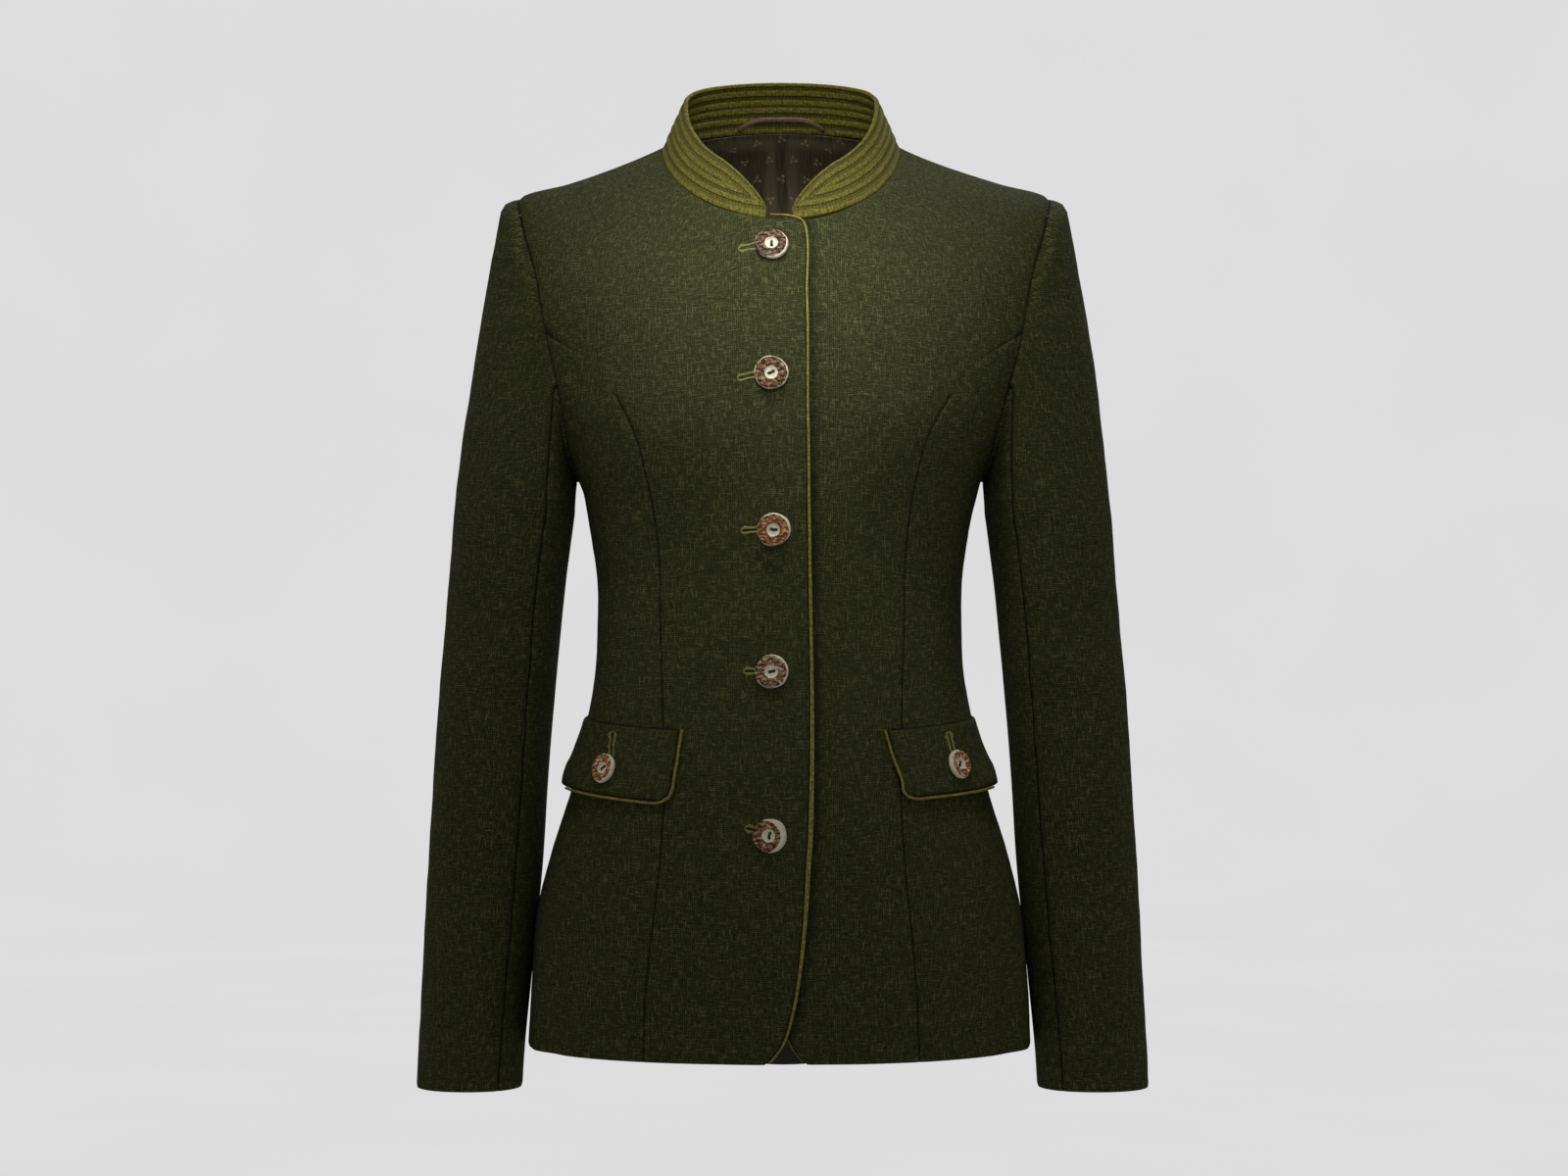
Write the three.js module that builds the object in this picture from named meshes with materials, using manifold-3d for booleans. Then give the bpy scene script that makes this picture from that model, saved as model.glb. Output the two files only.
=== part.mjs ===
// A women's stand-collar linen jacket, buttoned and filled out as when it is worn, with nobody in it.
// Millimetres, +Z up. The front faces -Y and the wearer's right side lies at -X. The origin is on the
// middle plane, level with the points where the shoulder seams meet the neck.
import * as THREE from "three";
import Module from "manifold-3d";

// ---- Driving dimensions ----------------------------------------------------------------------------
const CLOTH = 1.8; // the linen with its backing
const SEAM_GAP = 0.34; // between two panels that are sewn together
const LAP_RISE = 1.2; // how far the upper front is raised, and the lower one sunk, where they lap
const LAP_REACH = { full: 24, none: 50 }; // from the middle, where that starts to fade and has faded
const LINING = { thick: 0.8, behind: 2 };
const COLLAR = { height: 34.5, thick: 2.6, lean: 0.5, backLean: 0.2, taper: 48, lift: 1.3, puff: 0.55, bow: 0.5 };
const COLLAR_ROWS = [4, 11, 18, 25, 32]; // heights of the quilting rows on the full collar
const NECK_END = { right: -12.5, left: 6 }; // x of the collar's two front ends
const SIDE_T = { tip: 3, underarm: 8, hem: 18 }; // rows of BODY at the shoulder tip, underarm and hem
const BUST = { x: 76, z: -204, wide: 42, tall: 55, rise: 11 };
const FRONT_BUTTON = { radius: 11.6, thick: 4.2 };
const FLAP_BUTTON = { radius: 10.3, thick: 3.8 };
const BUTTON_SEAT = 0.5; // from the cloth to the back of a button
const HOLE = { radius: 1.1, apart: 3.4 };
const FLAP = { thick: 2.0, seat: 0.35, flare: 1.6, sideFlare: 7.5, piping: 1.9, columns: 10, rows: 6 };
const PIPING_THICK = { right: 2.5, left: 1.8 };
const LOOP = { half: 31, rise: 8, low: 17.5, tall: 3.2, thick: 1.3, feet: 1.35, middle: 8.6 };

// The body's rings, from the neck seam down to the hem. side, front and back give the ring's height z
// and its place y at the side, the centre front and the centre back; half is its half width there. A
// power above 2 squares the ring off, and dip bends it from the side's height to the front's and back's.
const BODY_COLUMNS = ["sideZ", "half", "sideY", "frontZ", "frontY", "backZ", "backY", "power", "dip"];
const BODY = [
  [-1, 83.5, 12, -56, -66, 17.5, 64, 2.0, 1.05],
  [-14.2, 118, 11, -80, -79, -6, 79, 2.1, 1.2],
  [-26.2, 154, 10, -104, -90, -31, 89, 2.25, 1.4],
  [-37.2, 189.5, 9, -128, -98, -58, 97, 2.4, 1.6],
  [-62, 199, 8, -152, -103, -88, 102, 2.45, 1.65],
  [-102, 196, 7, -178, -105, -122, 104, 2.45, 1.65],
  [-150, 183, 6, -204, -105, -162, 103, 2.45, 1.6],
  [-200, 161, 5, -229, -103, -204, 99, 2.4, 1.4],
  [-238, 142, 4, -251, -101, -240, 94, 2.4, 1.3],
  [-270, 135, 3, -276, -98, -272, 88, 2.35, 1.2],
  [-304, 130, 2, -305, -94, -305, 83, 2.3, 1.2],
  [-340, 129, 2, -340, -92, -340, 81, 2.3, 1.2],
  [-378, 130.7, 2, -378, -93, -378, 84, 2.3, 1.2],
  [-418, 138, 2, -418, -97, -418, 92, 2.3, 1.2],
  [-460, 148.2, 2, -460, -102, -460, 103, 2.3, 1.2],
  [-503, 161.3, 2, -503, -106, -505, 112, 2.3, 1.2],
  [-548, 172, 2, -548, -109, -555, 118, 2.3, 1.2],
  [-595, 176, 2, -595, -111, -612, 122, 2.3, 1.2],
  [-640, 178.3, 2, -643, -112, -669, 124, 2.3, 1.6],
];

// The seams, as they lie on the right side seen square from the front or the back; the left ones mirror
// them. x is the distance from the middle.
const SEAM_COLUMNS = ["x", "z"];
const ARMHOLE_FRONT_UPPER = [[187, -50], [181, -72], [174.5, -94], [170, -118], [167, -135]];
const ARMHOLE_FRONT_LOWER = [[163, -154], [158, -174], [153.5, -195], [149, -219]];
const ARMHOLE_BACK_UPPER = [[187, -52], [182.5, -76], [178, -100], [174.5, -126], [171.5, -148]];
const ARMHOLE_BACK_LOWER = [[167.5, -168], [162, -188], [155.5, -207], [149, -226]];
const PRINCESS_FRONT = [
  [143, -151], [125, -168], [111, -190], [101, -210], [92.5, -243], [87, -278], [85, -329], [83.5, -380],
  [82, -462], [85, -510], [90, -556], [94, -604], [95.5, -643],
];
const PRINCESS_BACK = [
  [148, -163], [128, -183], [111, -212], [97, -248], [87, -290], [82, -335], [82, -380], [86, -440],
  [91, -500], [96, -560], [99, -612], [101, -658],
];
// The right front's outer edge, with the width of the piping along it; the left front's edge mirrors it.
const EDGE_COLUMNS = ["z", "x", "piping"];
const FRONT_EDGE = [
  [-57.5, 9.8, 1.7], [-60, 14.4, 1.7], [-66, 16.5, 1.7], [-112, 16.9, 1.8], [-180, 17.6, 1.9], [-248, 18.5, 2.1],
  [-383, 20.8, 2.7], [-484, 20.3, 3.6], [-505, 18.9, 3.5], [-551, 15.7, 3.0], [-594, 10.2, 2.4],
  [-612, 6.3, 2.1], [-626.5, 1.6, 1.8], [-637, -5.2, 1.5], [-643, -11.8, 1.3],
];
const LEFT_EDGE_SHIFT = 3; // the left edge is mirrored about half of this

// Front buttons, from the top, and the two on the flaps.
const BUTTON_COLUMNS = ["x", "z", "turn"];
const FRONT_BUTTONS = [
  [-8.1, -78, 90], [-8.8, -167, 25], [-6.8, -274, 8], [-8.1, -373, 20], [-8.8, -486, 80],
];
const FLAP_BUTTONS = { right: [-121.5, -441.5, 25], left: [124, -439, 75] };

// The flap on the right hip: its front edge and its edge at the side, top and bottom, and how far its
// lower corners are rounded off, over a flap this wide along a ring of the body, where rows are this far
// apart. The left one mirrors it.
const FLAP_SHAPE = {
  frontTop: [71, -413.5], frontLow: { right: [77, -464.5], left: [83, -461.5] }, sideTop: -406, sideLow: -455,
};
const FLAP_CORNER = { round: 9, wide: 96, rowHeight: 42 };

// The sleeve's level rings below the underarm: outer and inner distance from the middle, and the
// place y of its axis and its depth from front to back.
const SLEEVE_COLUMNS = ["z", "outer", "inner", "y", "depth"];
const SLEEVE = [
  [-262, 233.6, 147.6, 5, 122], [-315, 238.2, 154.6, 9, 117], [-382, 244.2, 161.2, 11, 111],
  [-449, 249, 166.8, 12, 105], [-517, 253.2, 171.2, 13, 99], [-595, 257.2, 179, 12, 91],
  [-640, 259.6, 183.3, 9, 86], [-671, 260.9, 185.2, 6, 83],
];
const SLEEVE_POWER = 2.15;
// Shares of the way from the armhole to the first ring, and how far the cap stands out over that way.
const CAP_ROWS = [0, 0.025, 0.07, 0.15, 0.28, 0.45, 0.64, 0.83];
const CAP_BULGE = { rise: 9.2, lift: 0.32, roping: 0.04, power: 2.4 };
const SLEEVE_SHIFT = { top: 0.5, underarm: 3.9 }; // from the body's armhole edge to the sleeve's

// Soft folds: each is a long low ridge (or trough, where height is negative) in the surface.
// at is the ring position, 0 at centre front, 1 at the side seam and 2 at centre back.
const FOLD_COLUMNS = ["at", "top", "bottom", "wide", "height", "lean"];
const BODY_FOLDS = [
  [-0.83, -500, -660, 0.045, 2.6, 0.02], [-0.73, -520, -660, 0.04, -2.0, 0.01],
  [0.85, -505, -660, 0.05, 2.4, -0.02], [0.745, -530, -660, 0.04, -1.8, -0.01],
  [-1.22, -500, -680, 0.06, 2.6, 0.03], [-1.4, -540, -680, 0.05, -2.2, 0.02],
  [1.25, -510, -680, 0.055, 2.4, -0.03], [1.45, -530, -680, 0.05, -2.0, -0.02],
  [-1.6, -150, -330, 0.06, -1.6, 0.08], [1.62, -160, -320, 0.06, -1.5, -0.08],
];
const LEFT_SLEEVE_FOLDS = { lower: 9, softer: 0.8 };
const SLEEVE_FOLDS = [
  { turn: 0.3, z: -330, wide: 0.35, tall: 34, height: -2.4 },
  { turn: 0.75, z: -392, wide: 0.5, tall: 22, height: -2.2 },
  { turn: 0.42, z: -455, wide: 0.45, tall: 30, height: 1.8 },
  { turn: 0.15, z: -520, wide: 0.4, tall: 40, height: -1.6 },
  { turn: 0.62, z: -560, wide: 0.4, tall: 30, height: -1.8 },
];
// The empty jacket's sides hang a little to its own right below the arms, and so does its neck.
const HANG = { shift: -3.1, start: -150, end: -250, still: 55, full: 125, inside: 178, outside: 236, sleeve: 0.35 };
const NECK_HANG = { shift: -2, start: -60, end: -5, inside: 90, outside: 160 };

// How finely each piece is divided.
const DIVIDE = { front: 9, back: 8, shoulder: 4, seam: 20, sleeve: 12, collar: 38, tube: 6 };

// ---- Small helpers ---------------------------------------------------------------------------------
const named = (columns, row) => Object.fromEntries(columns.map((name, i) => [name, row[i]]));
const mix = (a, b, f) => a + (b - a) * f;
const clamp01 = (f) => Math.min(1, Math.max(0, f));
const smooth = (a, b, value) => {
  const f = clamp01((value - a) / (b - a));
  return f * f * (3 - 2 * f);
};
const bell = (value, width) => Math.exp(-((value / width) ** 2));
const vec = (x, y, z) => new THREE.Vector3(x, y, z);

// A cubic through evenly spaced values that keeps their slopes smooth.
function cubic(values, at) {
  const i = Math.min(values.length - 2, Math.max(0, Math.floor(at)));
  const f = at - i;
  const [a, b, c, d] = [-1, 0, 1, 2].map((k) => values[Math.min(values.length - 1, Math.max(0, i + k))]);
  const before = (c - a) / 2;
  const after = (d - b) / 2;
  return b + f * (before + f * (3 * (c - b) - 2 * before - after + f * (2 * (b - c) + before + after)));
}

// Reads a table by the value of its first column, smoothly.
function lookUp(table, value) {
  const falls = table[0][0] > table[table.length - 1][0];
  const past = table.findIndex((row) => (falls ? row[0] <= value : row[0] >= value));
  const i = past < 0 ? table.length - 1 : Math.max(1, past);
  const at = i - 1 + clamp01((value - table[i - 1][0]) / (table[i][0] - table[i - 1][0]));
  return table[0].map((_, column) => cubic(table.map((row) => row[column]), at));
}

// Points spread evenly along a list of pairs or vectors.
function spread(list, count) {
  const points = list.map((p) => (p.isVector3 ? p.clone() : vec(p[0], p[1], 0)));
  const curve = new THREE.CatmullRomCurve3(points, false, "centripetal");
  return curve.getSpacedPoints(count).map((p) => (list[0].isVector3 ? p : [p.x, p.y]));
}

// ---- The body's surface ----------------------------------------------------------------------------
const STEPS = 40;
const ringCache = new Map();

function ring(t) {
  const key = t.toFixed(5);
  if (ringCache.has(key)) return ringCache.get(key);
  const row = named(BODY_COLUMNS, BODY_COLUMNS.map((_, k) => cubic(BODY.map((r) => r[k]), t)));
  const half = ["front", "back"].map((end) => {
    const points = [];
    for (let i = 0; i <= STEPS; i += 1) {
      const angle = (i / STEPS) * (Math.PI / 2);
      const toEnd = Math.cos(angle) ** (2 / row.power);
      points.push([
        row.half * Math.sin(angle) ** (2 / row.power),
        mix(row.sideY, row[`${end}Y`], toEnd),
        mix(row.sideZ, row[`${end}Z`], toEnd ** row.dip),
      ]);
    }
    const along = [0];
    for (let i = 1; i <= STEPS; i += 1) {
      along.push(along[i - 1] + Math.hypot(...points[i].map((v, k) => v - points[i - 1][k])));
    }
    return { points, along };
  });
  ringCache.set(key, half);
  return half;
}

// A point of the body's surface: |u| runs from 0 at centre front through 1 at the side to 2 at centre
// back, and is negative on the right; t is the row of BODY.
function bodyPoint(u, t) {
  const size = Math.abs(u);
  const { points, along } = ring(t)[size <= 1 ? 0 : 1];
  const want = (size <= 1 ? size : 2 - size) * along[STEPS];
  let i = 1;
  while (i < STEPS && along[i] < want) i += 1;
  const f = (want - along[i - 1]) / (along[i] - along[i - 1]);
  const [x, y, z] = points[i].map((v, k) => mix(points[i - 1][k], v, f));
  const bust = size <= 1 ? BUST.rise * bell(x - BUST.x, BUST.wide) * bell(z - BUST.z, BUST.tall) : 0;
  return vec(x * (u < 0 ? -1 : 1), y - bust * smooth(0, -40, y), z);
}

function bodyNormal(u, t) {
  const across = bodyPoint(u + 0.01, t).sub(bodyPoint(u - 0.01, t));
  const down = bodyPoint(u, Math.min(18, t + 0.04)).sub(bodyPoint(u, Math.max(0, t - 0.04)));
  return across.cross(down).normalize().multiplyScalar(-1);
}

// The height of the soft folds at a place on the body.
function folds(u, z) {
  return BODY_FOLDS.reduce((sum, line) => {
    const { at, top, bottom, wide, height, lean } = named(FOLD_COLUMNS, line);
    const run = clamp01((top - z) / (top - bottom));
    const along = bottom < -640 ? smooth(0, 0.55, run) : Math.sin(Math.PI * run) ** 2;
    return sum + height * along * bell(u - at - lean * run, wide);
  }, 0);
}

// Finds where the surface has a given x and z, on the front or on the back.
function locate(x, z, back = false) {
  const sign = x < 0 ? -1 : 1;
  let best = null;
  for (let t = 0; t <= 18; t += 0.5) {
    for (let k = 0; k <= 20; k += 1) {
      const u = back ? 2 - k / 20 : k / 20;
      const p = bodyPoint(u, t);
      const off = Math.hypot(p.x - Math.abs(x), p.z - z);
      if (!best || off < best.off) best = { u, t, off };
    }
  }
  let { u, t } = best;
  for (let step = 0; step < 30; step += 1) {
    const p = bodyPoint(u, t);
    const pu = bodyPoint(u + 1e-3, t).sub(p).multiplyScalar(1e3);
    const pt = bodyPoint(u, t + 1e-3).sub(p).multiplyScalar(1e3);
    const dx = Math.abs(x) - p.x;
    const dz = z - p.z;
    const det = pu.x * pt.z - pu.z * pt.x;
    if (Math.abs(det) < 1e-6 || Math.hypot(dx, dz) < 1e-4) break;
    u = Math.min(back ? 2 : 1, Math.max(back ? 1 : 0, u + (0.8 * (dx * pt.z - dz * pt.x)) / det));
    t = Math.min(18, Math.max(0, t + (0.8 * (pu.x * dz - pu.z * dx)) / det));
  }
  return [u * sign, t];
}

// The last step for every point: the jacket hangs slightly to its own right.
function hang(p) {
  const away = Math.abs(p.x);
  const low = smooth(HANG.start, HANG.end, p.z) * smooth(HANG.still, HANG.full, away);
  const body = low * mix(1, HANG.sleeve, smooth(HANG.inside, HANG.outside, away));
  const neck = smooth(NECK_HANG.start, NECK_HANG.end, p.z) * (1 - smooth(NECK_HANG.inside, NECK_HANG.outside, away));
  return vec(p.x + HANG.shift * body + NECK_HANG.shift * neck, p.y, p.z);
}

// ---- Solids from grids -----------------------------------------------------------------------------
function solid(points, faces) {
  const moved = points.map(hang);
  const volume = faces.reduce((sum, [a, b, c]) => sum + moved[a].dot(moved[b].clone().cross(moved[c])), 0);
  const geometry = new THREE.BufferGeometry();
  geometry.setAttribute("position", new THREE.Float32BufferAttribute(moved.flatMap((p) => p.toArray()), 3));
  geometry.setIndex(faces.flatMap(([a, b, c]) => (volume < 0 ? [a, c, b] : [a, b, c])));
  geometry.computeVertexNormals();
  return geometry;
}

const quad = (a, b, c, d) => [[a, b, c], [a, c, d]];

// A wall between two grids of points that have the same rows and columns.
function wall(outer, inner) {
  const rows = outer.length;
  const columns = outer[0].length;
  const at = (layer, j, i) => layer * rows * columns + j * columns + i;
  const faces = [];
  for (let j = 0; j + 1 < rows; j += 1) {
    for (let i = 0; i + 1 < columns; i += 1) {
      faces.push(...quad(at(0, j, i), at(0, j, i + 1), at(0, j + 1, i + 1), at(0, j + 1, i)));
      faces.push(...quad(at(1, j, i), at(1, j + 1, i), at(1, j + 1, i + 1), at(1, j, i + 1)));
    }
  }
  for (let i = 0; i + 1 < columns; i += 1) {
    faces.push(...quad(at(0, 0, i), at(1, 0, i), at(1, 0, i + 1), at(0, 0, i + 1)));
    faces.push(...quad(at(0, rows - 1, i), at(0, rows - 1, i + 1), at(1, rows - 1, i + 1), at(1, rows - 1, i)));
  }
  for (let j = 0; j + 1 < rows; j += 1) {
    faces.push(...quad(at(0, j, 0), at(0, j + 1, 0), at(1, j + 1, 0), at(1, j, 0)));
    faces.push(...quad(at(0, j, columns - 1), at(1, j, columns - 1), at(1, j + 1, columns - 1), at(0, j + 1, columns - 1)));
  }
  return solid([...outer.flat(), ...inner.flat()], faces);
}

// Moves a grid's outer rows and columns inwards, to leave half of a seam's gap.
function inset(grid, by) {
  const rows = grid.length;
  const columns = grid[0].length;
  const step = (j, i, dj, di) => {
    const there = grid[j][i];
    const inward = grid[j + dj][i + di].clone().sub(there);
    const ahead = grid[Math.min(rows - 1, j + (di ? 1 : 0))][Math.min(columns - 1, i + (dj ? 1 : 0))];
    const behind = grid[Math.max(0, j - (di ? 1 : 0))][Math.max(0, i - (dj ? 1 : 0))];
    const edge = ahead.clone().sub(behind).normalize();
    return inward.sub(edge.multiplyScalar(inward.dot(edge))).normalize().multiplyScalar(by);
  };
  const moves = grid.map((line, j) => line.map((_, i) => {
    const move = vec(0, 0, 0);
    if (i === 0) move.add(step(j, i, 0, 1));
    if (i === columns - 1) move.add(step(j, i, 0, -1));
    if (j === 0) move.add(step(j, i, 1, 0));
    if (j === rows - 1) move.add(step(j, i, -1, 0));
    return move;
  }));
  return grid.map((line, j) => line.map((p, i) => p.clone().add(moves[j][i])));
}

// Fills four edges, each a list of [u, t], with a grid. left and right run down, top and bottom across.
function fill(left, right, top, bottom) {
  const rows = left.length - 1;
  const columns = top.length - 1;
  return left.map((_, j) => top.map((__, i) => {
    const a = i / columns;
    const b = j / rows;
    return [0, 1].map((k) => mix(left[j][k], right[j][k], a) + mix(top[i][k], bottom[i][k], b)
      - mix(mix(top[0][k], top[columns][k], a), mix(bottom[0][k], bottom[columns][k], a), b));
  }));
}

// How far a point of a front is raised or sunk where the fronts lap.
function lapRise(x, side) {
  const away = side < 0 ? x : -x; // how far past the middle this front has come
  return LAP_RISE * (1 - smooth(LAP_REACH.full, LAP_REACH.none, -away)) * (side < 0 ? 1 : -1);
}

// A panel: its grid of [u, t] on the body, raised by rise(x, z) and as thick as the cloth.
function panel(grid, rise = () => 0, shift = 0, thick = CLOTH) {
  const base = inset(grid.map((line) => line.map(([u, t]) => bodyPoint(u, t))), SEAM_GAP / 2);
  const layer = (side) => base.map((line, j) => line.map((p, i) => {
    const [u, t] = grid[j][i];
    const up = shift + rise(p.x, p.z) + folds(u, p.z) + (side * thick) / 2;
    return p.clone().add(bodyNormal(u, t).multiplyScalar(up));
  }));
  return wall(layer(1), layer(-1));
}

// ---- Seams in [u, t], for the side that is -1 on the right and 1 on the left ------------------------
const onBody = (table, side, back) => table.map((row) => {
  const { x, z } = named(SEAM_COLUMNS, row);
  return locate(side * x, z, back);
});

function seamsOf(side) {
  const tip = [side, SIDE_T.tip];
  const underarm = [side, SIDE_T.underarm];
  const upper = (table, back) => [tip, ...onBody(table, side, back)];
  const lower = (table, from, back) => [from, ...onBody(table, side, back), underarm];
  const frontUpper = upper(ARMHOLE_FRONT_UPPER, false);
  const backUpper = upper(ARMHOLE_BACK_UPPER, true);
  const frontStart = frontUpper[frontUpper.length - 1];
  const backStart = backUpper[backUpper.length - 1];
  return {
    frontUpper,
    backUpper,
    frontLower: lower(ARMHOLE_FRONT_LOWER, frontStart, false),
    backLower: lower(ARMHOLE_BACK_LOWER, backStart, true),
    frontPrincess: spread([frontStart, ...onBody(PRINCESS_FRONT, side, false)], DIVIDE.seam),
    backPrincess: spread([backStart, ...onBody(PRINCESS_BACK, side, true)], DIVIDE.seam),
    sideSeam: spread([underarm, [side, SIDE_T.hem]], DIVIDE.seam),
    shoulder: spread([[side, 0], tip], DIVIDE.shoulder),
  };
}

const line = (from, to, count) => spread([from, [mix(from[0], to[0], 0.5), mix(from[1], to[1], 0.5)], to], count);

// The place on the body of a front's outer edge at a height, less what the piping takes.
function edgePoint(side, row, within) {
  const { z, x, piping } = named(EDGE_COLUMNS, row);
  const edge = x - within * (piping + SEAM_GAP);
  const across = side < 0 ? edge : LEFT_EDGE_SHIFT - edge;
  return locate(across, z);
}

function frontGrid(side, seams) {
  const outside = [...seams.shoulder, ...seams.frontUpper.slice(1), ...seams.frontPrincess.slice(1)];
  const edge = spread(FRONT_EDGE.map((row) => edgePoint(side, row, 1)), outside.length - 1);
  const neck = line(edge[0], outside[0], DIVIDE.front);
  const hem = line(edge[edge.length - 1], outside[outside.length - 1], DIVIDE.front);
  return fill(edge, outside, neck, hem);
}

function backGrid(side, seams) {
  const outside = [...seams.shoulder, ...seams.backUpper.slice(1), ...seams.backPrincess.slice(1)];
  const middle = line([2 * side, 0], [2 * side, SIDE_T.hem], outside.length - 1);
  const neck = line(middle[0], outside[0], DIVIDE.back);
  const hem = line(middle[middle.length - 1], outside[outside.length - 1], DIVIDE.back);
  return fill(middle, outside, neck, hem);
}

function sideGrid(princess, armhole, sideSeam) {
  const bottom = line(princess[princess.length - 1], sideSeam[sideSeam.length - 1], armhole.length - 1);
  return fill(princess, sideSeam, armhole, bottom);
}

// ---- Sleeves ---------------------------------------------------------------------------------------
// The armhole as one loop of points, from the shoulder tip down the front and up the back.
function armholeLoop(seams) {
  const front = [...seams.frontUpper, ...seams.frontLower.slice(1)];
  const back = [...seams.backUpper, ...seams.backLower.slice(1)];
  return [...front, ...back.slice(1, -1).reverse()].map(([u, t]) => bodyPoint(u, t));
}

function sleeveRing(row, side, turn) {
  const { z, outer, inner, y, depth } = named(SLEEVE_COLUMNS, row);
  const round = (value) => Math.sign(value) * Math.abs(value) ** (2 / SLEEVE_POWER);
  const middle = (outer + inner) / 2;
  const across = ((outer - inner) / 2) * round(Math.cos(turn));
  return vec(side * (middle + across), y - (depth / 2) * round(Math.sin(turn)), z);
}

// The sleeve's middle surface: a column for each point of the armhole loop and a row for each level.
function sleeveGrid(side, loop) {
  const count = loop.length;
  const turns = loop.map((_, k) => (2 * Math.PI * k) / count);
  const start = loop.map((p, k) => {
    const under = (1 - Math.cos(turns[k])) / 2;
    return p.clone().add(vec(side * mix(SLEEVE_SHIFT.top, SLEEVE_SHIFT.underarm, under), 0, 0));
  });
  const rows = CAP_ROWS.map((share) => loop.map((_, k) => {
    const end = sleeveRing(SLEEVE[0], side, turns[k]);
    const rise = smooth(-0.01, CAP_BULGE.roping, share) * (1 - share ** CAP_BULGE.power);
    const outward = vec(side * Math.cos(turns[k]), -Math.sin(turns[k]), CAP_BULGE.lift);
    const keep = ((1 + Math.cos(turns[k])) / 2) ** 1.5;
    return start[k].clone().lerp(end, share).add(outward.multiplyScalar(CAP_BULGE.rise * rise * keep));
  }));
  const last = SLEEVE[SLEEVE.length - 1][0];
  for (let j = 0; j <= DIVIDE.sleeve; j += 1) {
    const z = mix(SLEEVE[0][0], last, j / DIVIDE.sleeve);
    const row = lookUp(SLEEVE, z);
    rows.push(turns.map((turn) => {
      const p = sleeveRing(row, side, turn);
      const outward = vec(side * Math.cos(turn), -Math.sin(turn), 0);
      const share = turn / (2 * Math.PI);
      const clear = smooth(0.04, 0.2, Math.abs(share - 0.5)) * smooth(0.02, 0.12, Math.min(share, 1 - share));
      const left = side > 0 ? LEFT_SLEEVE_FOLDS : { lower: 0, softer: 1 };
      const rise = left.softer * SLEEVE_FOLDS.reduce((sum, f) => {
        const round = Math.abs(((share - f.turn + 1.5) % 1) - 0.5) * 2;
        return sum + f.height * bell(round, f.wide) * bell(z - f.z + left.lower, f.tall);
      }, 0);
      return p.add(outward.multiplyScalar(rise * clear));
    }));
  }
  return rows;
}

// One of the sleeve's two pieces, from column first to column last of the whole sleeve.
function sleevePiece(grid, side, first, last) {
  const count = grid[0].length;
  const wrap = (i) => ((i % count) + count) % count;
  const normal = (j, i) => {
    const across = grid[j][wrap(i + 1)].clone().sub(grid[j][wrap(i - 1)]);
    const down = grid[Math.min(grid.length - 1, j + 1)][wrap(i)].clone().sub(grid[Math.max(0, j - 1)][wrap(i)]);
    return across.cross(down).normalize().multiplyScalar(side);
  };
  const columns = Array.from({ length: last - first + 1 }, (_, k) => first + k);
  const base = inset(grid.map((row) => columns.map((i) => row[wrap(i)])), SEAM_GAP / 2);
  const layer = (way) => base.map((row, j) => row.map((p, k) => (
    p.clone().add(normal(j, columns[k]).multiplyScalar((way * CLOTH) / 2)))));
  return wall(layer(1), layer(-1));
}

// ---- Collar ----------------------------------------------------------------------------------------
// The collar's foot runs from its right front end round the back of the neck to its left front end.
function collarFoot() {
  const start = locate(NECK_END.right, BODY[0][3])[0];
  const end = locate(NECK_END.left, BODY[0][3])[0];
  const us = [];
  for (let k = 0; k <= 120; k += 1) {
    const along = mix(start, end - 4, k / 120); // past centre back the ring position wraps from -2 to 2
    us.push(along < -2 ? along + 4 : along);
  }
  const points = us.map((u) => bodyPoint(u, 0));
  points[0].x = NECK_END.right;
  points[points.length - 1].x = NECK_END.left;
  return spread(points, DIVIDE.collar);
}

function collarSolid() {
  const foot = collarFoot();
  const last = foot.length - 1;
  const length = foot.slice(1).reduce((sum, p, k) => sum + p.distanceTo(foot[k]), 0);
  const heights = [0, 2, ...COLLAR_ROWS.flatMap((h) => [h, h + 3.5]).slice(0, -1), 34, COLLAR.height];
  const frames = foot.map((p, k) => {
    const along = foot[Math.min(last, k + 1)].clone().sub(foot[Math.max(0, k - 1)]).normalize();
    const out = vec(along.y, -along.x, 0).normalize();
    if (out.dot(vec(p.x, p.y, 0)) < 0) out.multiplyScalar(-1);
    const lean = mix(COLLAR.lean, COLLAR.backLean, smooth(10, 60, p.y));
    const rise = vec(0, 0, 1).addScaledVector(out, -lean).normalize();
    const face = along.clone().cross(rise).normalize();
    if (face.dot(out) < 0) face.multiplyScalar(-1);
    const fromEnd = (Math.min(k, last - k) / last) * length;
    const taper = 1 - (1 - Math.min(1, (fromEnd + 1.2) / COLLAR.taper)) ** 2;
    return { p, rise, face, height: COLLAR.height * taper ** 0.62 };
  });
  const layer = (way) => heights.map((h) => frames.map(({ p, rise, face, height }) => {
    const up = COLLAR.lift + (h / COLLAR.height) * height;
    const quilted = way > 0 && !COLLAR_ROWS.includes(h) && h > 0 && h < COLLAR.height ? COLLAR.puff : 0;
    const bow = COLLAR.bow * Math.sin((Math.PI * h) / COLLAR.height) * (height / COLLAR.height);
    return p.clone().addScaledVector(rise, up)
      .addScaledVector(face, (way * COLLAR.thick) / 2 + quilted * (height / COLLAR.height) + bow);
  }));
  return wall(layer(1), layer(-1));
}

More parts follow.
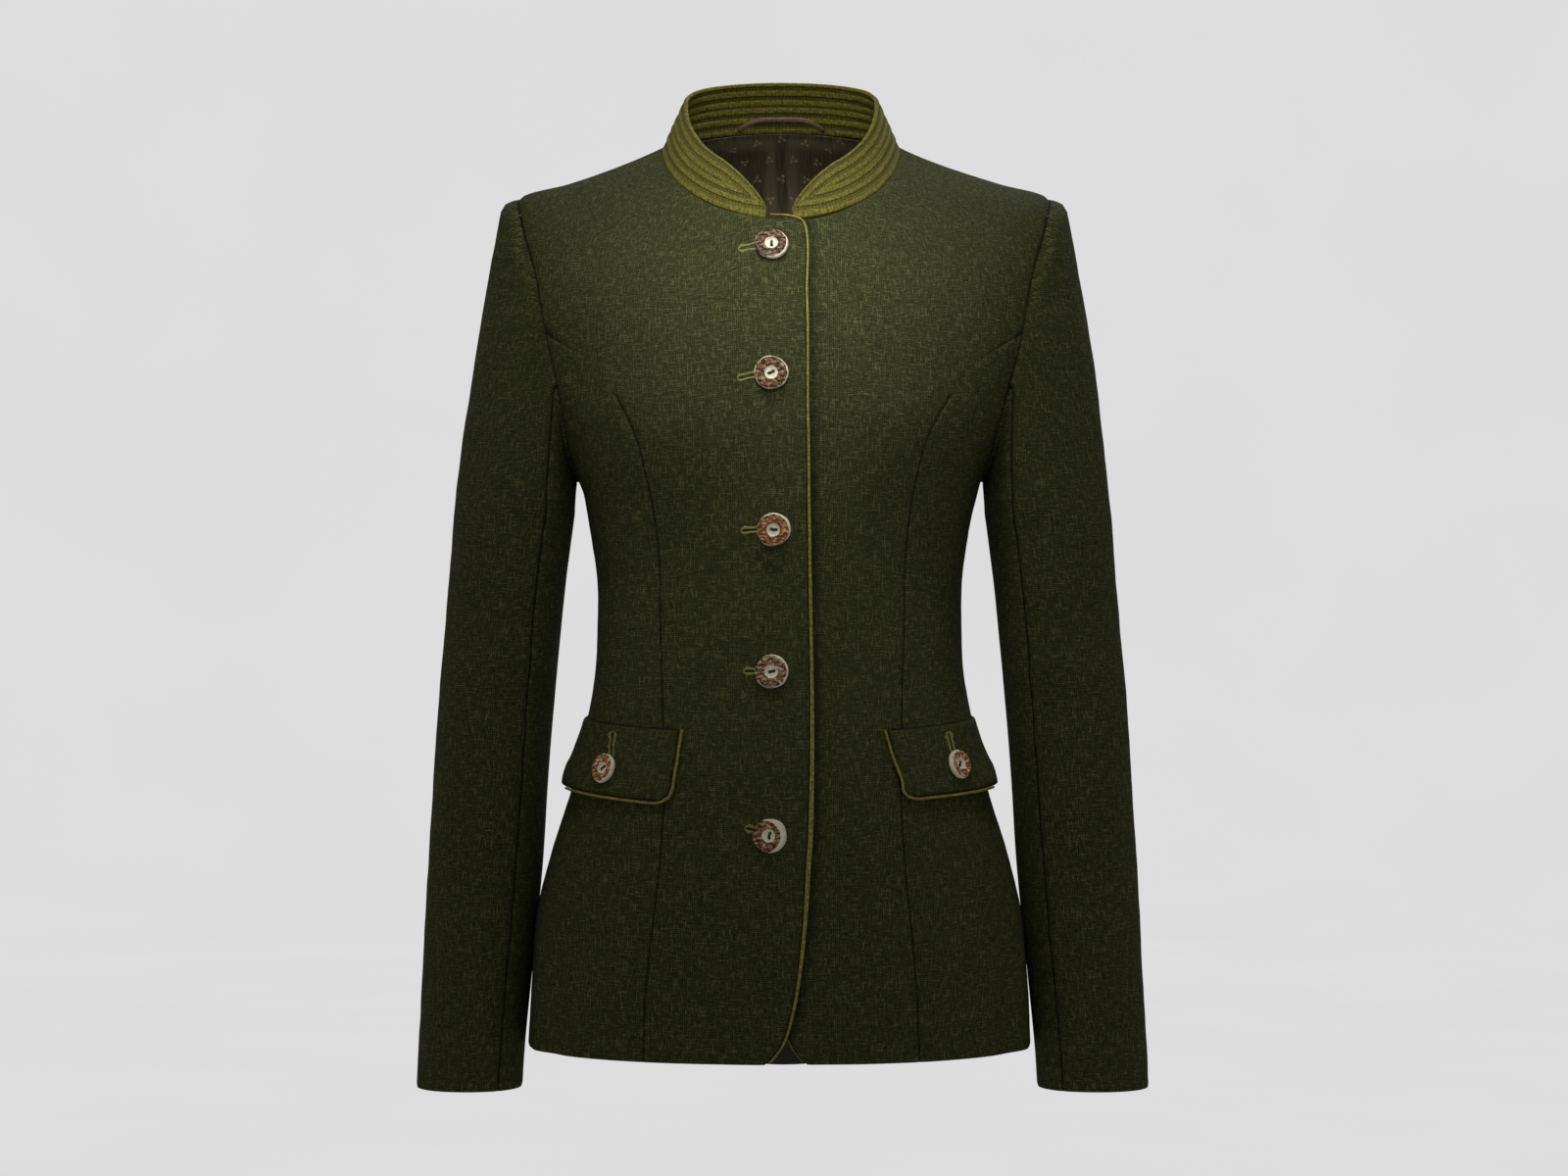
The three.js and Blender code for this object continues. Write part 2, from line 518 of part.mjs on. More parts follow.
// ---- Piping, flaps, buttons and the hanger loop ----------------------------------------------------
// A tube of oval section along points, each with the direction across it, its normal and its size.
function tube(stations) {
  const sides = DIVIDE.tube;
  const points = stations.flatMap(({ p, across, normal, wide, thick }) => (
    Array.from({ length: sides }, (_, k) => {
      const angle = (2 * Math.PI * (k + 0.5)) / sides;
      return p.clone().addScaledVector(across, (wide / 2) * Math.cos(angle))
        .addScaledVector(normal, (thick / 2) * Math.sin(angle));
    })));
  const faces = [];
  for (let j = 0; j + 1 < stations.length; j += 1) {
    for (let k = 0; k < sides; k += 1) {
      const next = (k + 1) % sides;
      faces.push(...quad(j * sides + k, j * sides + next, (j + 1) * sides + next, (j + 1) * sides + k));
    }
  }
  const end = (stations.length - 1) * sides;
  for (let k = 1; k + 1 < sides; k += 1) {
    faces.push([0, k + 1, k], [end, end + k, end + k + 1]);
  }
  return solid(points, faces);
}

// Gives a run of places {p, normal, wide} the direction that points out of the piece they border.
function borderStations(run, outwards, thick) {
  return run.map(({ p, normal, wide }, k) => {
    const along = run[Math.min(run.length - 1, k + 1)].p.clone().sub(run[Math.max(0, k - 1)].p);
    const across = along.cross(normal).normalize().multiplyScalar(outwards);
    return { p: p.clone().addScaledVector(across, wide / 2), across, normal, wide, thick };
  });
}

function frontPiping(side) {
  const edge = FRONT_EDGE.map((row) => {
    const [u, t] = edgePoint(side, row, 1);
    return { u, t, wide: named(EDGE_COLUMNS, row).piping };
  });
  const neckEnd = side < 0 ? NECK_END.right + 2.5 : NECK_END.left + 2.5;
  const from = locate(side < 0 ? neckEnd : Math.min(neckEnd, 4), BODY[0][3]);
  const corner = { u: mix(from[0], edge[0].u, 0.5), t: 0, wide: edge[0].wide };
  const start = side < 0 ? [{ u: from[0], t: 0, wide: edge[0].wide * 0.8 }, corner] : [];
  const knots = [...start, ...edge];
  const smoothed = spread(knots.map(({ u, t, wide }) => vec(u * 100, t * 8, wide)), 44);
  const run = smoothed.map((s) => {
    const [u, t, wide] = [s.x / 100, s.y / 8, s.z];
    const p = bodyPoint(u, Math.max(0, t));
    const normal = bodyNormal(u, Math.max(0, t));
    p.addScaledVector(normal, lapRise(p.x, side) + folds(u, p.z));
    return { p, normal, wide };
  });
  const stations = borderStations(run, side, side < 0 ? PIPING_THICK.right : PIPING_THICK.left);
  stations.forEach((s) => s.p.addScaledVector(s.across, SEAM_GAP));
  return tube(stations);
}

// The right flap's outline as a grid from its front edge to the side, and from its top down.
function flapGrid(side, columns, rows) {
  const { frontTop, frontLow, sideTop, sideLow } = FLAP_SHAPE;
  const { round, wide, rowHeight } = FLAP_CORNER;
  const top = locate(side * frontTop[0], frontTop[1]);
  const [lowX, lowZ] = frontLow[side < 0 ? "right" : "left"];
  const low = locate(side * lowX, lowZ);
  const atSide = [rowAtSide(sideTop), rowAtSide(sideLow)];
  const corner = (off) => (off < round ? round - Math.sqrt(round ** 2 - (round - off) ** 2) : 0);
  const at = (a, b) => {
    const sideEdge = [side * 0.995, mix(...atSide, b)];
    const front = [mix(top[0], low[0], b), mix(top[1], low[1], b)];
    const lift = b * (corner(a * wide) + corner((1 - a) * wide)) / rowHeight;
    return [mix(front[0], sideEdge[0], a), mix(front[1], sideEdge[1], a) - lift];
  };
  return Array.from({ length: rows + 1 }, (_, j) => (
    Array.from({ length: columns + 1 }, (__, i) => ({ uv: at(i / columns, j / rows), a: i / columns, b: j / rows }))));
}

// The row position of BODY whose side lies at a height.
function rowAtSide(z) {
  let low = 0;
  let high = SIDE_T.hem;
  for (let k = 0; k < 40; k += 1) {
    const middle = (low + high) / 2;
    if (cubic(BODY.map((row) => row[0]), middle) > z) low = middle;
    else high = middle;
  }
  return low;
}

function flapPoint({ uv: [u, t], a, b }, height) {
  const flare = b ** 1.5 * mix(FLAP.flare, FLAP.sideFlare, a ** 1.4);
  const p = bodyPoint(u, t);
  const up = CLOTH / 2 + FLAP.seat + flare + folds(u, p.z) + height;
  return p.addScaledVector(bodyNormal(u, t), up);
}

function flapSolid(side) {
  const grid = flapGrid(side, FLAP.columns, FLAP.rows);
  const layer = (height) => grid.map((row) => row.map((place) => flapPoint(place, height)));
  return wall(layer(FLAP.thick), layer(0));
}

function flapPiping(side) {
  const grid = flapGrid(side, FLAP.columns, FLAP.rows);
  const down = grid.map((row) => row[0]);
  const along = grid[FLAP.rows].slice(1);
  const knots = [...down, ...along];
  const run = knots.map((place) => ({
    p: flapPoint(place, FLAP.thick / 2),
    normal: bodyNormal(...place.uv),
    wide: FLAP.piping,
  }));
  const stations = borderStations(run, side < 0 ? -1 : 1, FLAP.thick + 0.3);
  stations.forEach((s) => s.p.addScaledVector(s.across, SEAM_GAP));
  return tube(stations);
}

const wasm = await Module();
wasm.setup();

function manifoldOf(geometry) {
  const mesh = new wasm.Mesh({
    numProp: 3,
    vertProperties: new Float32Array(geometry.getAttribute("position").array),
    triVerts: new Uint32Array(geometry.getIndex().array),
  });
  return new wasm.Manifold(mesh);
}

function geometryOf(manifold) {
  const mesh = manifold.getMesh();
  const geometry = new THREE.BufferGeometry();
  geometry.setAttribute("position", new THREE.BufferAttribute(mesh.vertProperties, 3));
  geometry.setIndex(new THREE.BufferAttribute(mesh.triVerts, 1));
  geometry.computeVertexNormals();
  return geometry;
}

// A closed ring-by-ring turned solid about Z, from its profile of [radius, height].
function turned(profile, sides) {
  const points = [vec(0, 0, profile[0][1])];
  const faces = [];
  profile.forEach(([radius, height]) => {
    for (let k = 0; k < sides; k += 1) {
      const angle = (2 * Math.PI * k) / sides;
      points.push(vec(radius * Math.cos(angle), radius * Math.sin(angle), height));
    }
  });
  points.push(vec(0, 0, profile[profile.length - 1][1]));
  const at = (j, k) => 1 + j * sides + (k % sides);
  for (let k = 0; k < sides; k += 1) {
    faces.push([0, at(0, k + 1), at(0, k)], [points.length - 1, at(profile.length - 1, k), at(profile.length - 1, k + 1)]);
    for (let j = 0; j + 1 < profile.length; j += 1) {
      faces.push(...quad(at(j, k), at(j, k + 1), at(j + 1, k + 1), at(j + 1, k)));
    }
  }
  const geometry = new THREE.BufferGeometry();
  geometry.setAttribute("position", new THREE.Float32BufferAttribute(points.flatMap((p) => p.toArray()), 3));
  geometry.setIndex(faces.flat());
  return geometry;
}

// A disc with a softly rounded rim, a shallow dish in its face and two holes for the thread.
function buttonGeometry({ radius, thick }) {
  const dish = radius * 0.42;
  const disc = turned([
    [radius - 1.2, 0], [radius, 1.1], [radius, thick - 1.3], [radius - 1.1, thick - 0.2],
    [dish + 0.5, thick], [dish, thick - 0.3], [dish * 0.6, thick - 1.3],
  ], 16);
  const drill = turned([[HOLE.radius, -1], [HOLE.radius, thick + 1]], 6);
  const holes = [-1, 1].map((way) => manifoldOf(drill.clone().translate((way * HOLE.apart) / 2, 0, 0)));
  return geometryOf(holes.reduce((left, hole) => left.subtract(hole), manifoldOf(disc)));
}

const buttonShapes = { front: buttonGeometry(FRONT_BUTTON), flap: buttonGeometry(FLAP_BUTTON) };

// Seats a button on a point of the cloth, its thread line turned by an angle in degrees.
function buttonMesh(shape, p, normal, turn, material) {
  const mesh = new THREE.Mesh(buttonShapes[shape], material);
  const facing = new THREE.Quaternion().setFromUnitVectors(vec(0, 0, 1), normal);
  const spin = new THREE.Quaternion().setFromAxisAngle(vec(0, 0, 1), THREE.MathUtils.degToRad(turn));
  mesh.quaternion.copy(facing).multiply(spin);
  mesh.position.copy(hang(p.clone().addScaledVector(normal, BUTTON_SEAT)));
  return mesh;
}

function frontButton(row, material) {
  const { x, z, turn } = named(BUTTON_COLUMNS, row);
  const [u, t] = locate(x, z);
  const normal = bodyNormal(u, t);
  const p = bodyPoint(u, t).addScaledVector(normal, CLOTH / 2 + LAP_RISE);
  return buttonMesh("front", p, normal, turn, material);
}

function flapButton(side, row, material) {
  const { x, z, turn } = named(BUTTON_COLUMNS, row);
  const grid = flapGrid(side, 24, 16).map((places) => places.map((place) => flapPoint(place, FLAP.thick)));
  let best = { off: Infinity };
  for (let j = 1; j < 16; j += 1) {
    for (let i = 1; i < 24; i += 1) {
      const off = Math.hypot(grid[j][i].x - x, grid[j][i].z - z);
      if (off < best.off) best = { off, j, i };
    }
  }
  const { j, i } = best;
  const across = grid[j][i + 1].clone().sub(grid[j][i - 1]);
  const down = grid[j + 1][i].clone().sub(grid[j - 1][i]);
  const normal = across.cross(down).normalize().multiplyScalar(-side);
  return buttonMesh("flap", grid[j][i], normal, turn, material);
}

function hangerLoop() {
  const back = bodyPoint(2, 0);
  const stations = Array.from({ length: 19 }, (_, k) => {
    const f = mix(-1, 1, k / 18);
    const high = 1 - Math.abs(f) ** 3.2;
    const x = LOOP.half * f * (1 + 0.03 * (1 - f * f));
    const inside = back.y - (x / BODY[0][1]) ** 2 * 26;
    const ahead = COLLAR.thick / 2 + mix(LOOP.feet, LOOP.middle, high);
    return { p: vec(x, inside - ahead, LOOP.low + LOOP.rise * high) };
  });
  return tube(stations.map(({ p }, k) => {
    const ahead = stations[Math.min(18, k + 1)].p.clone().sub(stations[Math.max(0, k - 1)].p).normalize();
    const normal = vec(0, -1, 0).addScaledVector(ahead, ahead.y).normalize();
    const across = ahead.clone().cross(normal).normalize();
    return { p, across, normal, wide: LOOP.tall, thick: LOOP.thick };
  }));
}

// ---- The jacket ------------------------------------------------------------------------------------
const finish = (color, roughness, metalness = 0) => new THREE.MeshStandardMaterial({ color, roughness, metalness });
const finishes = {
  linen: finish(0x343820, 0.92),
  collar: finish(0x6a6426, 0.9),
  lining: finish(0x25221a, 0.45),
  horn: finish(0x6b5040, 0.5),
  loop: finish(0x4a3a28, 0.5),
};

const jacket = new THREE.Group();
jacket.name = "linen_jacket";

function add(name, geometry, material) {
  const mesh = new THREE.Mesh(geometry, material);
  mesh.name = name;
  jacket.add(mesh);
}

for (const [word, side] of [["right", -1], ["left", 1]]) {
  const seams = seamsOf(side);
  const front = frontGrid(side, seams);
  const back = backGrid(side, seams);
  add(`front_${word}`, panel(front, (x) => lapRise(x, side)), finishes.linen);
  add(`side_front_${word}`, panel(sideGrid(seams.frontPrincess, seams.frontLower, seams.sideSeam)), finishes.linen);
  add(`side_back_${word}`, panel(sideGrid(seams.backPrincess, seams.backLower, seams.sideSeam)), finishes.linen);
  add(`back_${word}`, panel(back), finishes.linen);

  const backLining = back.filter((_, j) => j % 2 === 0);
  const behind = -(CLOTH / 2 + LINING.behind + LINING.thick / 2);
  add(`lining_back_${word}`, panel(backLining, undefined, behind, LINING.thick), finishes.lining);

  const loop = armholeLoop(seams);
  const sleeve = sleeveGrid(side, loop);
  const frontSeam = seams.frontUpper.length + 1;
  const backSeam = loop.length - seams.backUpper.length;
  add(`sleeve_${word}_under`, sleevePiece(sleeve, side, frontSeam, backSeam), finishes.linen);
  add(`sleeve_${word}_upper`, sleevePiece(sleeve, side, backSeam - loop.length, frontSeam), finishes.linen);

  add(`piping_front_${word}`, frontPiping(side), finishes.collar);
  add(`flap_${word}`, flapSolid(side), finishes.linen);
  add(`piping_flap_${word}`, flapPiping(side), finishes.collar);

  const button = flapButton(side, FLAP_BUTTONS[word], finishes.horn);
  button.name = `flap_button_${word}`;
  jacket.add(button);
}

add("collar", collarSolid(), finishes.collar);
add("hanger_loop", hangerLoop(), finishes.loop);
FRONT_BUTTONS.forEach((row, k) => {
  const button = frontButton(row, finishes.horn);
  button.name = `front_button_${k + 1}`;
  jacket.add(button);
});

export default jacket;
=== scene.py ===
"""Looks for a women's linen jacket with a quilted stand collar, filled out and buttoned.

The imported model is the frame. Lengths are in millimetres here and become metres when a mesh is made.
+Z is up, the front faces -Y, and the wearer's right side lies at -X. The cloth follows the same surface
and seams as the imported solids, only finer, so each piece stays where its node is.
"""

from __future__ import annotations

import logging
import math
from dataclasses import dataclass, field
from enum import Enum
from typing import Callable, Sequence, Union

import bmesh
import bpy
import numpy as np
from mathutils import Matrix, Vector, noise

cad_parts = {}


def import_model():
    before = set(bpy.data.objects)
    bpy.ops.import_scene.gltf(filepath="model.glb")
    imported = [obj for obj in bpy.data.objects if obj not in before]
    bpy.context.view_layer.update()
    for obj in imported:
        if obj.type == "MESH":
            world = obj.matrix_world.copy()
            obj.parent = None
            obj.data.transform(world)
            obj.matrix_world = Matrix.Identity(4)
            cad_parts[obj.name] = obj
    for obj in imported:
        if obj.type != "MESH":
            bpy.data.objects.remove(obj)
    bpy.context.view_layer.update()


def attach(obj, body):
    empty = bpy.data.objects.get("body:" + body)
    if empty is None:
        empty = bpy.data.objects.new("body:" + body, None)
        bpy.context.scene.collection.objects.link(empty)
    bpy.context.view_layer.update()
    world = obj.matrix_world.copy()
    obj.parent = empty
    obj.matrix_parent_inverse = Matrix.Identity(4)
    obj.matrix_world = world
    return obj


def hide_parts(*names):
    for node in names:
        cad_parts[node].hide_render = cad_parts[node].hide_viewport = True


LOG = logging.getLogger("linen_jacket")
MM = 0.001
Number = Union[float, np.ndarray]

# ---- Sizes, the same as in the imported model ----
CLOTH = 1.8
SEAM_GAP = 0.34
CLOSED = -0.06
FAR = 500.0  # the distance from an edge that a piece doesn't have
LAP_RISE = 1.2
LAP_FULL, LAP_NONE = 24.0, 50.0
LINING_THICK, LINING_BEHIND, LINING_ROLL = 0.8, 2.0, 1.3
NECK_END = {-1: -12.5, 1: 6.0}
TIP_ROW, UNDERARM_ROW, HEM_ROW = 3, 8, 18
BUST_X, BUST_Z, BUST_WIDE, BUST_TALL, BUST_RISE = 76.0, -204.0, 42.0, 55.0, 11.0
HANG_SHIFT, HANG_SLEEVE = -3.1, 0.35
NECK_SHIFT = -2.0

# side_z, half, side_y, front_z, front_y, back_z, back_y, power, dip
BODY = np.array([
    [-1, 83.5, 12, -56, -66, 17.5, 64, 2.0, 1.05],
    [-14.2, 118, 11, -80, -79, -6, 79, 2.1, 1.2],
    [-26.2, 154, 10, -104, -90, -31, 89, 2.25, 1.4],
    [-37.2, 189.5, 9, -128, -98, -58, 97, 2.4, 1.6],
    [-62, 199, 8, -152, -103, -88, 102, 2.45, 1.65],
    [-102, 196, 7, -178, -105, -122, 104, 2.45, 1.65],
    [-150, 183, 6, -204, -105, -162, 103, 2.45, 1.6],
    [-200, 161, 5, -229, -103, -204, 99, 2.4, 1.4],
    [-238, 142, 4, -251, -101, -240, 94, 2.4, 1.3],
    [-270, 135, 3, -276, -98, -272, 88, 2.35, 1.2],
    [-304, 130, 2, -305, -94, -305, 83, 2.3, 1.2],
    [-340, 129, 2, -340, -92, -340, 81, 2.3, 1.2],
    [-378, 130.7, 2, -378, -93, -378, 84, 2.3, 1.2],
    [-418, 138, 2, -418, -97, -418, 92, 2.3, 1.2],
    [-460, 148.2, 2, -460, -102, -460, 103, 2.3, 1.2],
    [-503, 161.3, 2, -503, -106, -505, 112, 2.3, 1.2],
    [-548, 172, 2, -548, -109, -555, 118, 2.3, 1.2],
    [-595, 176, 2, -595, -111, -612, 122, 2.3, 1.2],
    [-640, 178.3, 2, -643, -112, -669, 124, 2.3, 1.6],
])
ARMHOLE_FRONT_UPPER = [(187, -50), (181, -72), (174.5, -94), (170, -118), (167, -135)]
ARMHOLE_FRONT_LOWER = [(163, -154), (158, -174), (153.5, -195), (149, -219)]
ARMHOLE_BACK_UPPER = [(187, -52), (182.5, -76), (178, -100), (174.5, -126), (171.5, -148)]
ARMHOLE_BACK_LOWER = [(167.5, -168), (162, -188), (155.5, -207), (149, -226)]
PRINCESS_FRONT = [
    (143, -151), (125, -168), (111, -190), (101, -210), (92.5, -243), (87, -278), (85, -329), (83.5, -380),
    (82, -462), (85, -510), (90, -556), (94, -604), (95.5, -643),
]
PRINCESS_BACK = [
    (148, -163), (128, -183), (111, -212), (97, -248), (87, -290), (82, -335), (82, -380), (86, -440),
    (91, -500), (96, -560), (99, -612), (101, -658),
]
# z, x and the width of the piping along the right front's edge
FRONT_EDGE = [
    (-57.5, 9.8, 1.7), (-60, 14.4, 1.7), (-66, 16.5, 1.7), (-112, 16.9, 1.8), (-180, 17.6, 1.9),
    (-248, 18.5, 2.1), (-383, 20.8, 2.7), (-484, 20.3, 3.6), (-505, 18.9, 3.5), (-551, 15.7, 3.0),
    (-594, 10.2, 2.4), (-612, 6.3, 2.1), (-626.5, 1.6, 1.8), (-637, -5.2, 1.5), (-643, -11.8, 1.3),
]
LEFT_EDGE_SHIFT = 3.0
LAP_SHADOW_REACH = 9.0  # how far the painted shadow of the upper front's edge reaches onto the lower one
PIPING_SHORT = 2  # of 260 steps down the edge, how many the piping stops short of the hem
# z, outer, inner, y, depth
SLEEVE = np.array([
    [-262, 233.6, 147.6, 5, 122], [-315, 238.2, 154.6, 9, 117], [-382, 244.2, 161.2, 11, 111],
    [-449, 249, 166.8, 12, 105], [-517, 253.2, 171.2, 13, 99], [-595, 257.2, 179, 12, 91],
    [-640, 259.6, 183.3, 9, 86], [-671, 260.9, 185.2, 6, 83],
])
# at, top, bottom, wide, height, lean
BODY_FOLDS = [
    (-0.83, -500, -660, 0.045, 2.6, 0.02), (-0.73, -520, -660, 0.04, -2.0, 0.01),
    (0.85, -505, -660, 0.05, 2.4, -0.02), (0.745, -530, -660, 0.04, -1.8, -0.01),
    (-1.22, -500, -680, 0.06, 2.6, 0.03), (-1.4, -540, -680, 0.05, -2.2, 0.02),
    (1.25, -510, -680, 0.055, 2.4, -0.03), (1.45, -530, -680, 0.05, -2.0, -0.02),
    (-1.6, -150, -330, 0.06, -1.6, 0.08), (1.62, -160, -320, 0.06, -1.5, -0.08),
]
# turn, z, wide, tall, height
SLEEVE_FOLDS = [
    (0.3, -330, 0.35, 34, -2.4), (0.75, -392, 0.5, 22, -2.2), (0.42, -455, 0.45, 30, 1.8),
    (0.15, -520, 0.4, 40, -1.6), (0.62, -560, 0.4, 30, -1.8),
]
LEFT_FOLDS = (9.0, 0.8)
FLAP_FRONT_LOW = {-1: (77, -464.5), 1: (83, -461.5)}


class Side(Enum):
    """The wearer's side; the value is the sign of x."""

    RIGHT = -1
    LEFT = 1

    @property
    def word(self) -> str:
        """The side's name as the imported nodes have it."""
        return self.name.lower()


# ---- Soft creases that only the looks have ----
# On the body: x and z of both ends, how wide and how high, a trough where negative.
# Each was placed one by one; the hidden side has creases like the ones in sight.
FRONT_CREASES = [
    (-150, -232, -112, -262, 7, 1.1), (-146, -246, -118, -250, 5, -0.8), (-128, -285, -98, -300, 6, 0.9),
    (-124, -318, -96, -312, 5, -0.8), (-120, -345, -88, -352, 6, 0.8), (-118, -372, -90, -366, 5, -0.7),
    (-160, -150, -132, -196, 7, -0.9), (-172, -120, -150, -160, 6, 0.9), (-70, -300, -34, -312, 7, 0.7),
    (-64, -330, -30, -326, 6, -0.7), (-60, -356, -28, -364, 7, 0.6), (-52, -250, -30, -268, 6, -0.5),
    (-48, -215, -30, -196, 7, 0.5), (-46, -118, -28, -98, 7, 0.6), (-60, -128, -34, -160, 8, -0.5),
    (150, -236, 114, -258, 7, 1.0), (146, -262, 116, -270, 5, -0.8), (126, -296, 94, -306, 6, 0.9),
    (123, -326, 95, -322, 5, -0.7), (119, -352, 90, -360, 6, 0.8), (163, -148, 138, -198, 7, -0.9),
    (174, -116, 154, -158, 6, 0.8), (72, -306, 32, -300, 7, 0.7), (66, -338, 30, -346, 6, -0.6),
    (58, -366, 26, -358, 7, 0.6), (56, -228, 30, -240, 7, -0.5), (50, -140, 28, -116, 8, 0.5),
    (-100, -540, -104, -632, 9, 0.9), (-64, -560, -58, -636, 10, 0.8), (-34, -540, -30, -620, 9, -0.7),
    (62, -548, 60, -636, 10, 0.8), (104, -536, 108, -634, 9, 0.9), (34, -556, 28, -622, 9, -0.6),
]
BACK_CREASES = [
    (-148, -240, -104, -268, 7, 1.0), (-126, -300, -84, -312, 6, -0.9), (-118, -342, -70, -336, 7, 0.9),
    (-60, -330, -14, -342, 7, 0.8), (-56, -362, -12, -356, 6, -0.7), (-50, -300, -16, -292, 7, 0.6),
    (-158, -150, -126, -200, 7, -0.9), (-100, -120, -60, -180, 10, 0.7), (-40, -90, -30, -170, 11, -0.6),
    (148, -246, 106, -262, 7, 0.9), (124, -306, 86, -300, 6, -0.8), (116, -350, 74, -344, 7, 0.8),
    (58, -326, 12, -332, 7, 0.8), (54, -368, 14, -360, 6, -0.7), (160, -152, 128, -204, 7, -0.8),
    (98, -128, 62, -178, 10, 0.6), (-70, -560, -66, -660, 11, 1.0), (66, -570, 60, -664, 11, 0.9),
    (-24, -580, -20, -668, 10, -0.8), (26, -590, 24, -668, 10, -0.7),
]
# On a sleeve: turn (0 outside, 0.25 front, 0.5 inside, 0.75 back) and z of both ends, wide and high.
SLEEVE_CREASES = [
    (0.16, -236, 0.36, -268, 8, 1.3), (0.2, -268, 0.4, -286, 6, -1.1), (0.14, -306, 0.34, -324, 8, 1.0),
    (0.1, -338, 0.3, -352, 7, -0.9), (0.18, -366, 0.42, -384, 8, 1.4), (0.12, -392, 0.34, -402, 6, -1.2),
    (0.2, -414, 0.42, -432, 8, 1.3), (0.08, -438, 0.28, -446, 7, -0.9), (0.16, -468, 0.36, -488, 8, 1.0),
    (0.12, -506, 0.34, -518, 7, -0.8), (0.2, -546, 0.4, -566, 8, 0.9), (0.1, -590, 0.3, -600, 7, -0.7),
    (0.16, -622, 0.34, -640, 8, 0.6), (0.6, -250, 0.84, -282, 8, 1.2), (0.58, -300, 0.8, -316, 7, -1.0),
    (0.62, -350, 0.86, -368, 8, 1.2), (0.58, -384, 0.84, -396, 6, -1.2), (0.6, -420, 0.86, -440, 8, 1.3),
    (0.62, -466, 0.84, -480, 7, -1.0), (0.6, -520, 0.82, -540, 8, 0.9), (0.64, -580, 0.84, -596, 8, -0.8),
    (0.12, -110, 0.22, -176, 9, 0.9), (0.2, -130, 0.3, -200, 8, -0.9), (0.8, -112, 0.72, -180, 9, 0.9),
]


# ---- Plain arithmetic on arrays ----
def mix(a: Number, b: Number, f: Number) -> Number:
    """Runs from a at f = 0 to b at f = 1."""
    return a + (b - a) * f


def smooth(a: float, b: float, value: Number) -> Number:
    """Eases from 0 at a to 1 at b."""
    f = np.clip((value - a) / (b - a), 0.0, 1.0)
    return f * f * (3 - 2 * f)


def bell(value: Number, width: Number) -> Number:
    """A bell-shaped bump, 1 in the middle."""
    return np.exp(-((value / width) ** 2))


def unit(vectors: np.ndarray) -> np.ndarray:
    """Scales each vector to length 1."""
    return vectors / np.maximum(np.linalg.norm(vectors, axis=-1, keepdims=True), 1e-9)


def cubic(values: np.ndarray, at: Number) -> np.ndarray:
    """Reads evenly spaced rows between their places, keeping their slopes smooth.

    Args:
        values: The rows.
        at: Where to read them, counted in rows.

    Returns:
        One row for each place.
    """
    at = np.asarray(at, float)
    last = len(values) - 1
    i = np.clip(np.floor(at).astype(int), 0, last - 1)
    f = (at - i)[..., None]
    a, b, c, d = (values[np.clip(i + k, 0, last)] for k in (-1, 0, 1, 2))
    before, after = (c - a) / 2, (d - b) / 2
    return b + f * (before + f * (3 * (c - b) - 2 * before - after + f * (2 * (b - c) + before + after)))


def running(points: np.ndarray) -> np.ndarray:
    """The length along a line of points, from 0."""
    steps = np.linalg.norm(np.diff(points, axis=0), axis=1)
    return np.concatenate([[0.0], np.cumsum(steps)])


def grid_run(points: np.ndarray, axis: int) -> np.ndarray:
    """How far every point of a grid is down its column (axis 0) or along its row (axis 1)."""
    steps = np.linalg.norm(np.diff(points, axis=axis), axis=2)
    return np.pad(np.cumsum(steps, axis=axis), [(1 - axis, 0), (axis, 0)])


def resampled(points: np.ndarray, count: int) -> np.ndarray:
    """Spreads points evenly along a line.

    Args:
        points: The line's own points.
        count: The number of steps between the new ones.

    Returns:
        count + 1 points.
    """
    along = running(points)
    want = np.linspace(0, along[-1], count + 1)
    return np.stack([np.interp(want, along, points[:, k]) for k in range(points.shape[1])], axis=1)


def curve(knots: Sequence, per: int = 24) -> np.ndarray:
    """A centripetal curve through knots.

    Args:
        knots: The points that it goes through.
        per: The number of steps between two of them.

    Returns:
        The curve's points.
    """
    p = np.array(knots, float)
    p = np.vstack([2 * p[0] - p[1], p, 2 * p[-1] - p[-2]])
    found = []
    f = np.linspace(0, 1, per, endpoint=False)[:, None]
    for x0, x1, x2, x3 in zip(p[:-3], p[1:-2], p[2:-1], p[3:]):
        pairs = ((x0, x1), (x1, x2), (x2, x3))
        d0, d1, d2 = (max(float(np.linalg.norm(b - a)) ** 0.5, 1e-3) for a, b in pairs)
        t1 = d1 * ((x1 - x0) / d0 - (x2 - x0) / (d0 + d1) + (x2 - x1) / d1)
        t2 = d1 * ((x2 - x1) / d1 - (x3 - x1) / (d1 + d2) + (x3 - x2) / d2)
        found.append(x1 + f * (t1 + f * (3 * (x2 - x1) - 2 * t1 - t2 + f * (2 * (x1 - x2) + t1 + t2))))
    return np.vstack([*found, p[-2:-1]])


def spread(knots: Sequence, count: int) -> np.ndarray:
    """count + 1 evenly spaced points on the curve through knots."""
    return resampled(curve(knots), count)


def ripple(p: np.ndarray, size: float, seed: int) -> np.ndarray:
    """Gentle uneven waves over points.

    Args:
        p: The points.
        size: How far apart the waves are, roughly.
        seed: Which waves they are.

    Returns:
        A height from about -1 to 1 at each point.
    """
    spin = np.random.default_rng(seed)
    total = np.zeros(p.shape[:-1])
    for _ in range(7):
        way = spin.normal(size=3)
        way *= 2 * math.pi / (size * spin.uniform(0.7, 1.9) * np.linalg.norm(way))
        total += np.sin(p @ way + spin.uniform(0, 2 * math.pi))
    return total / 3.2


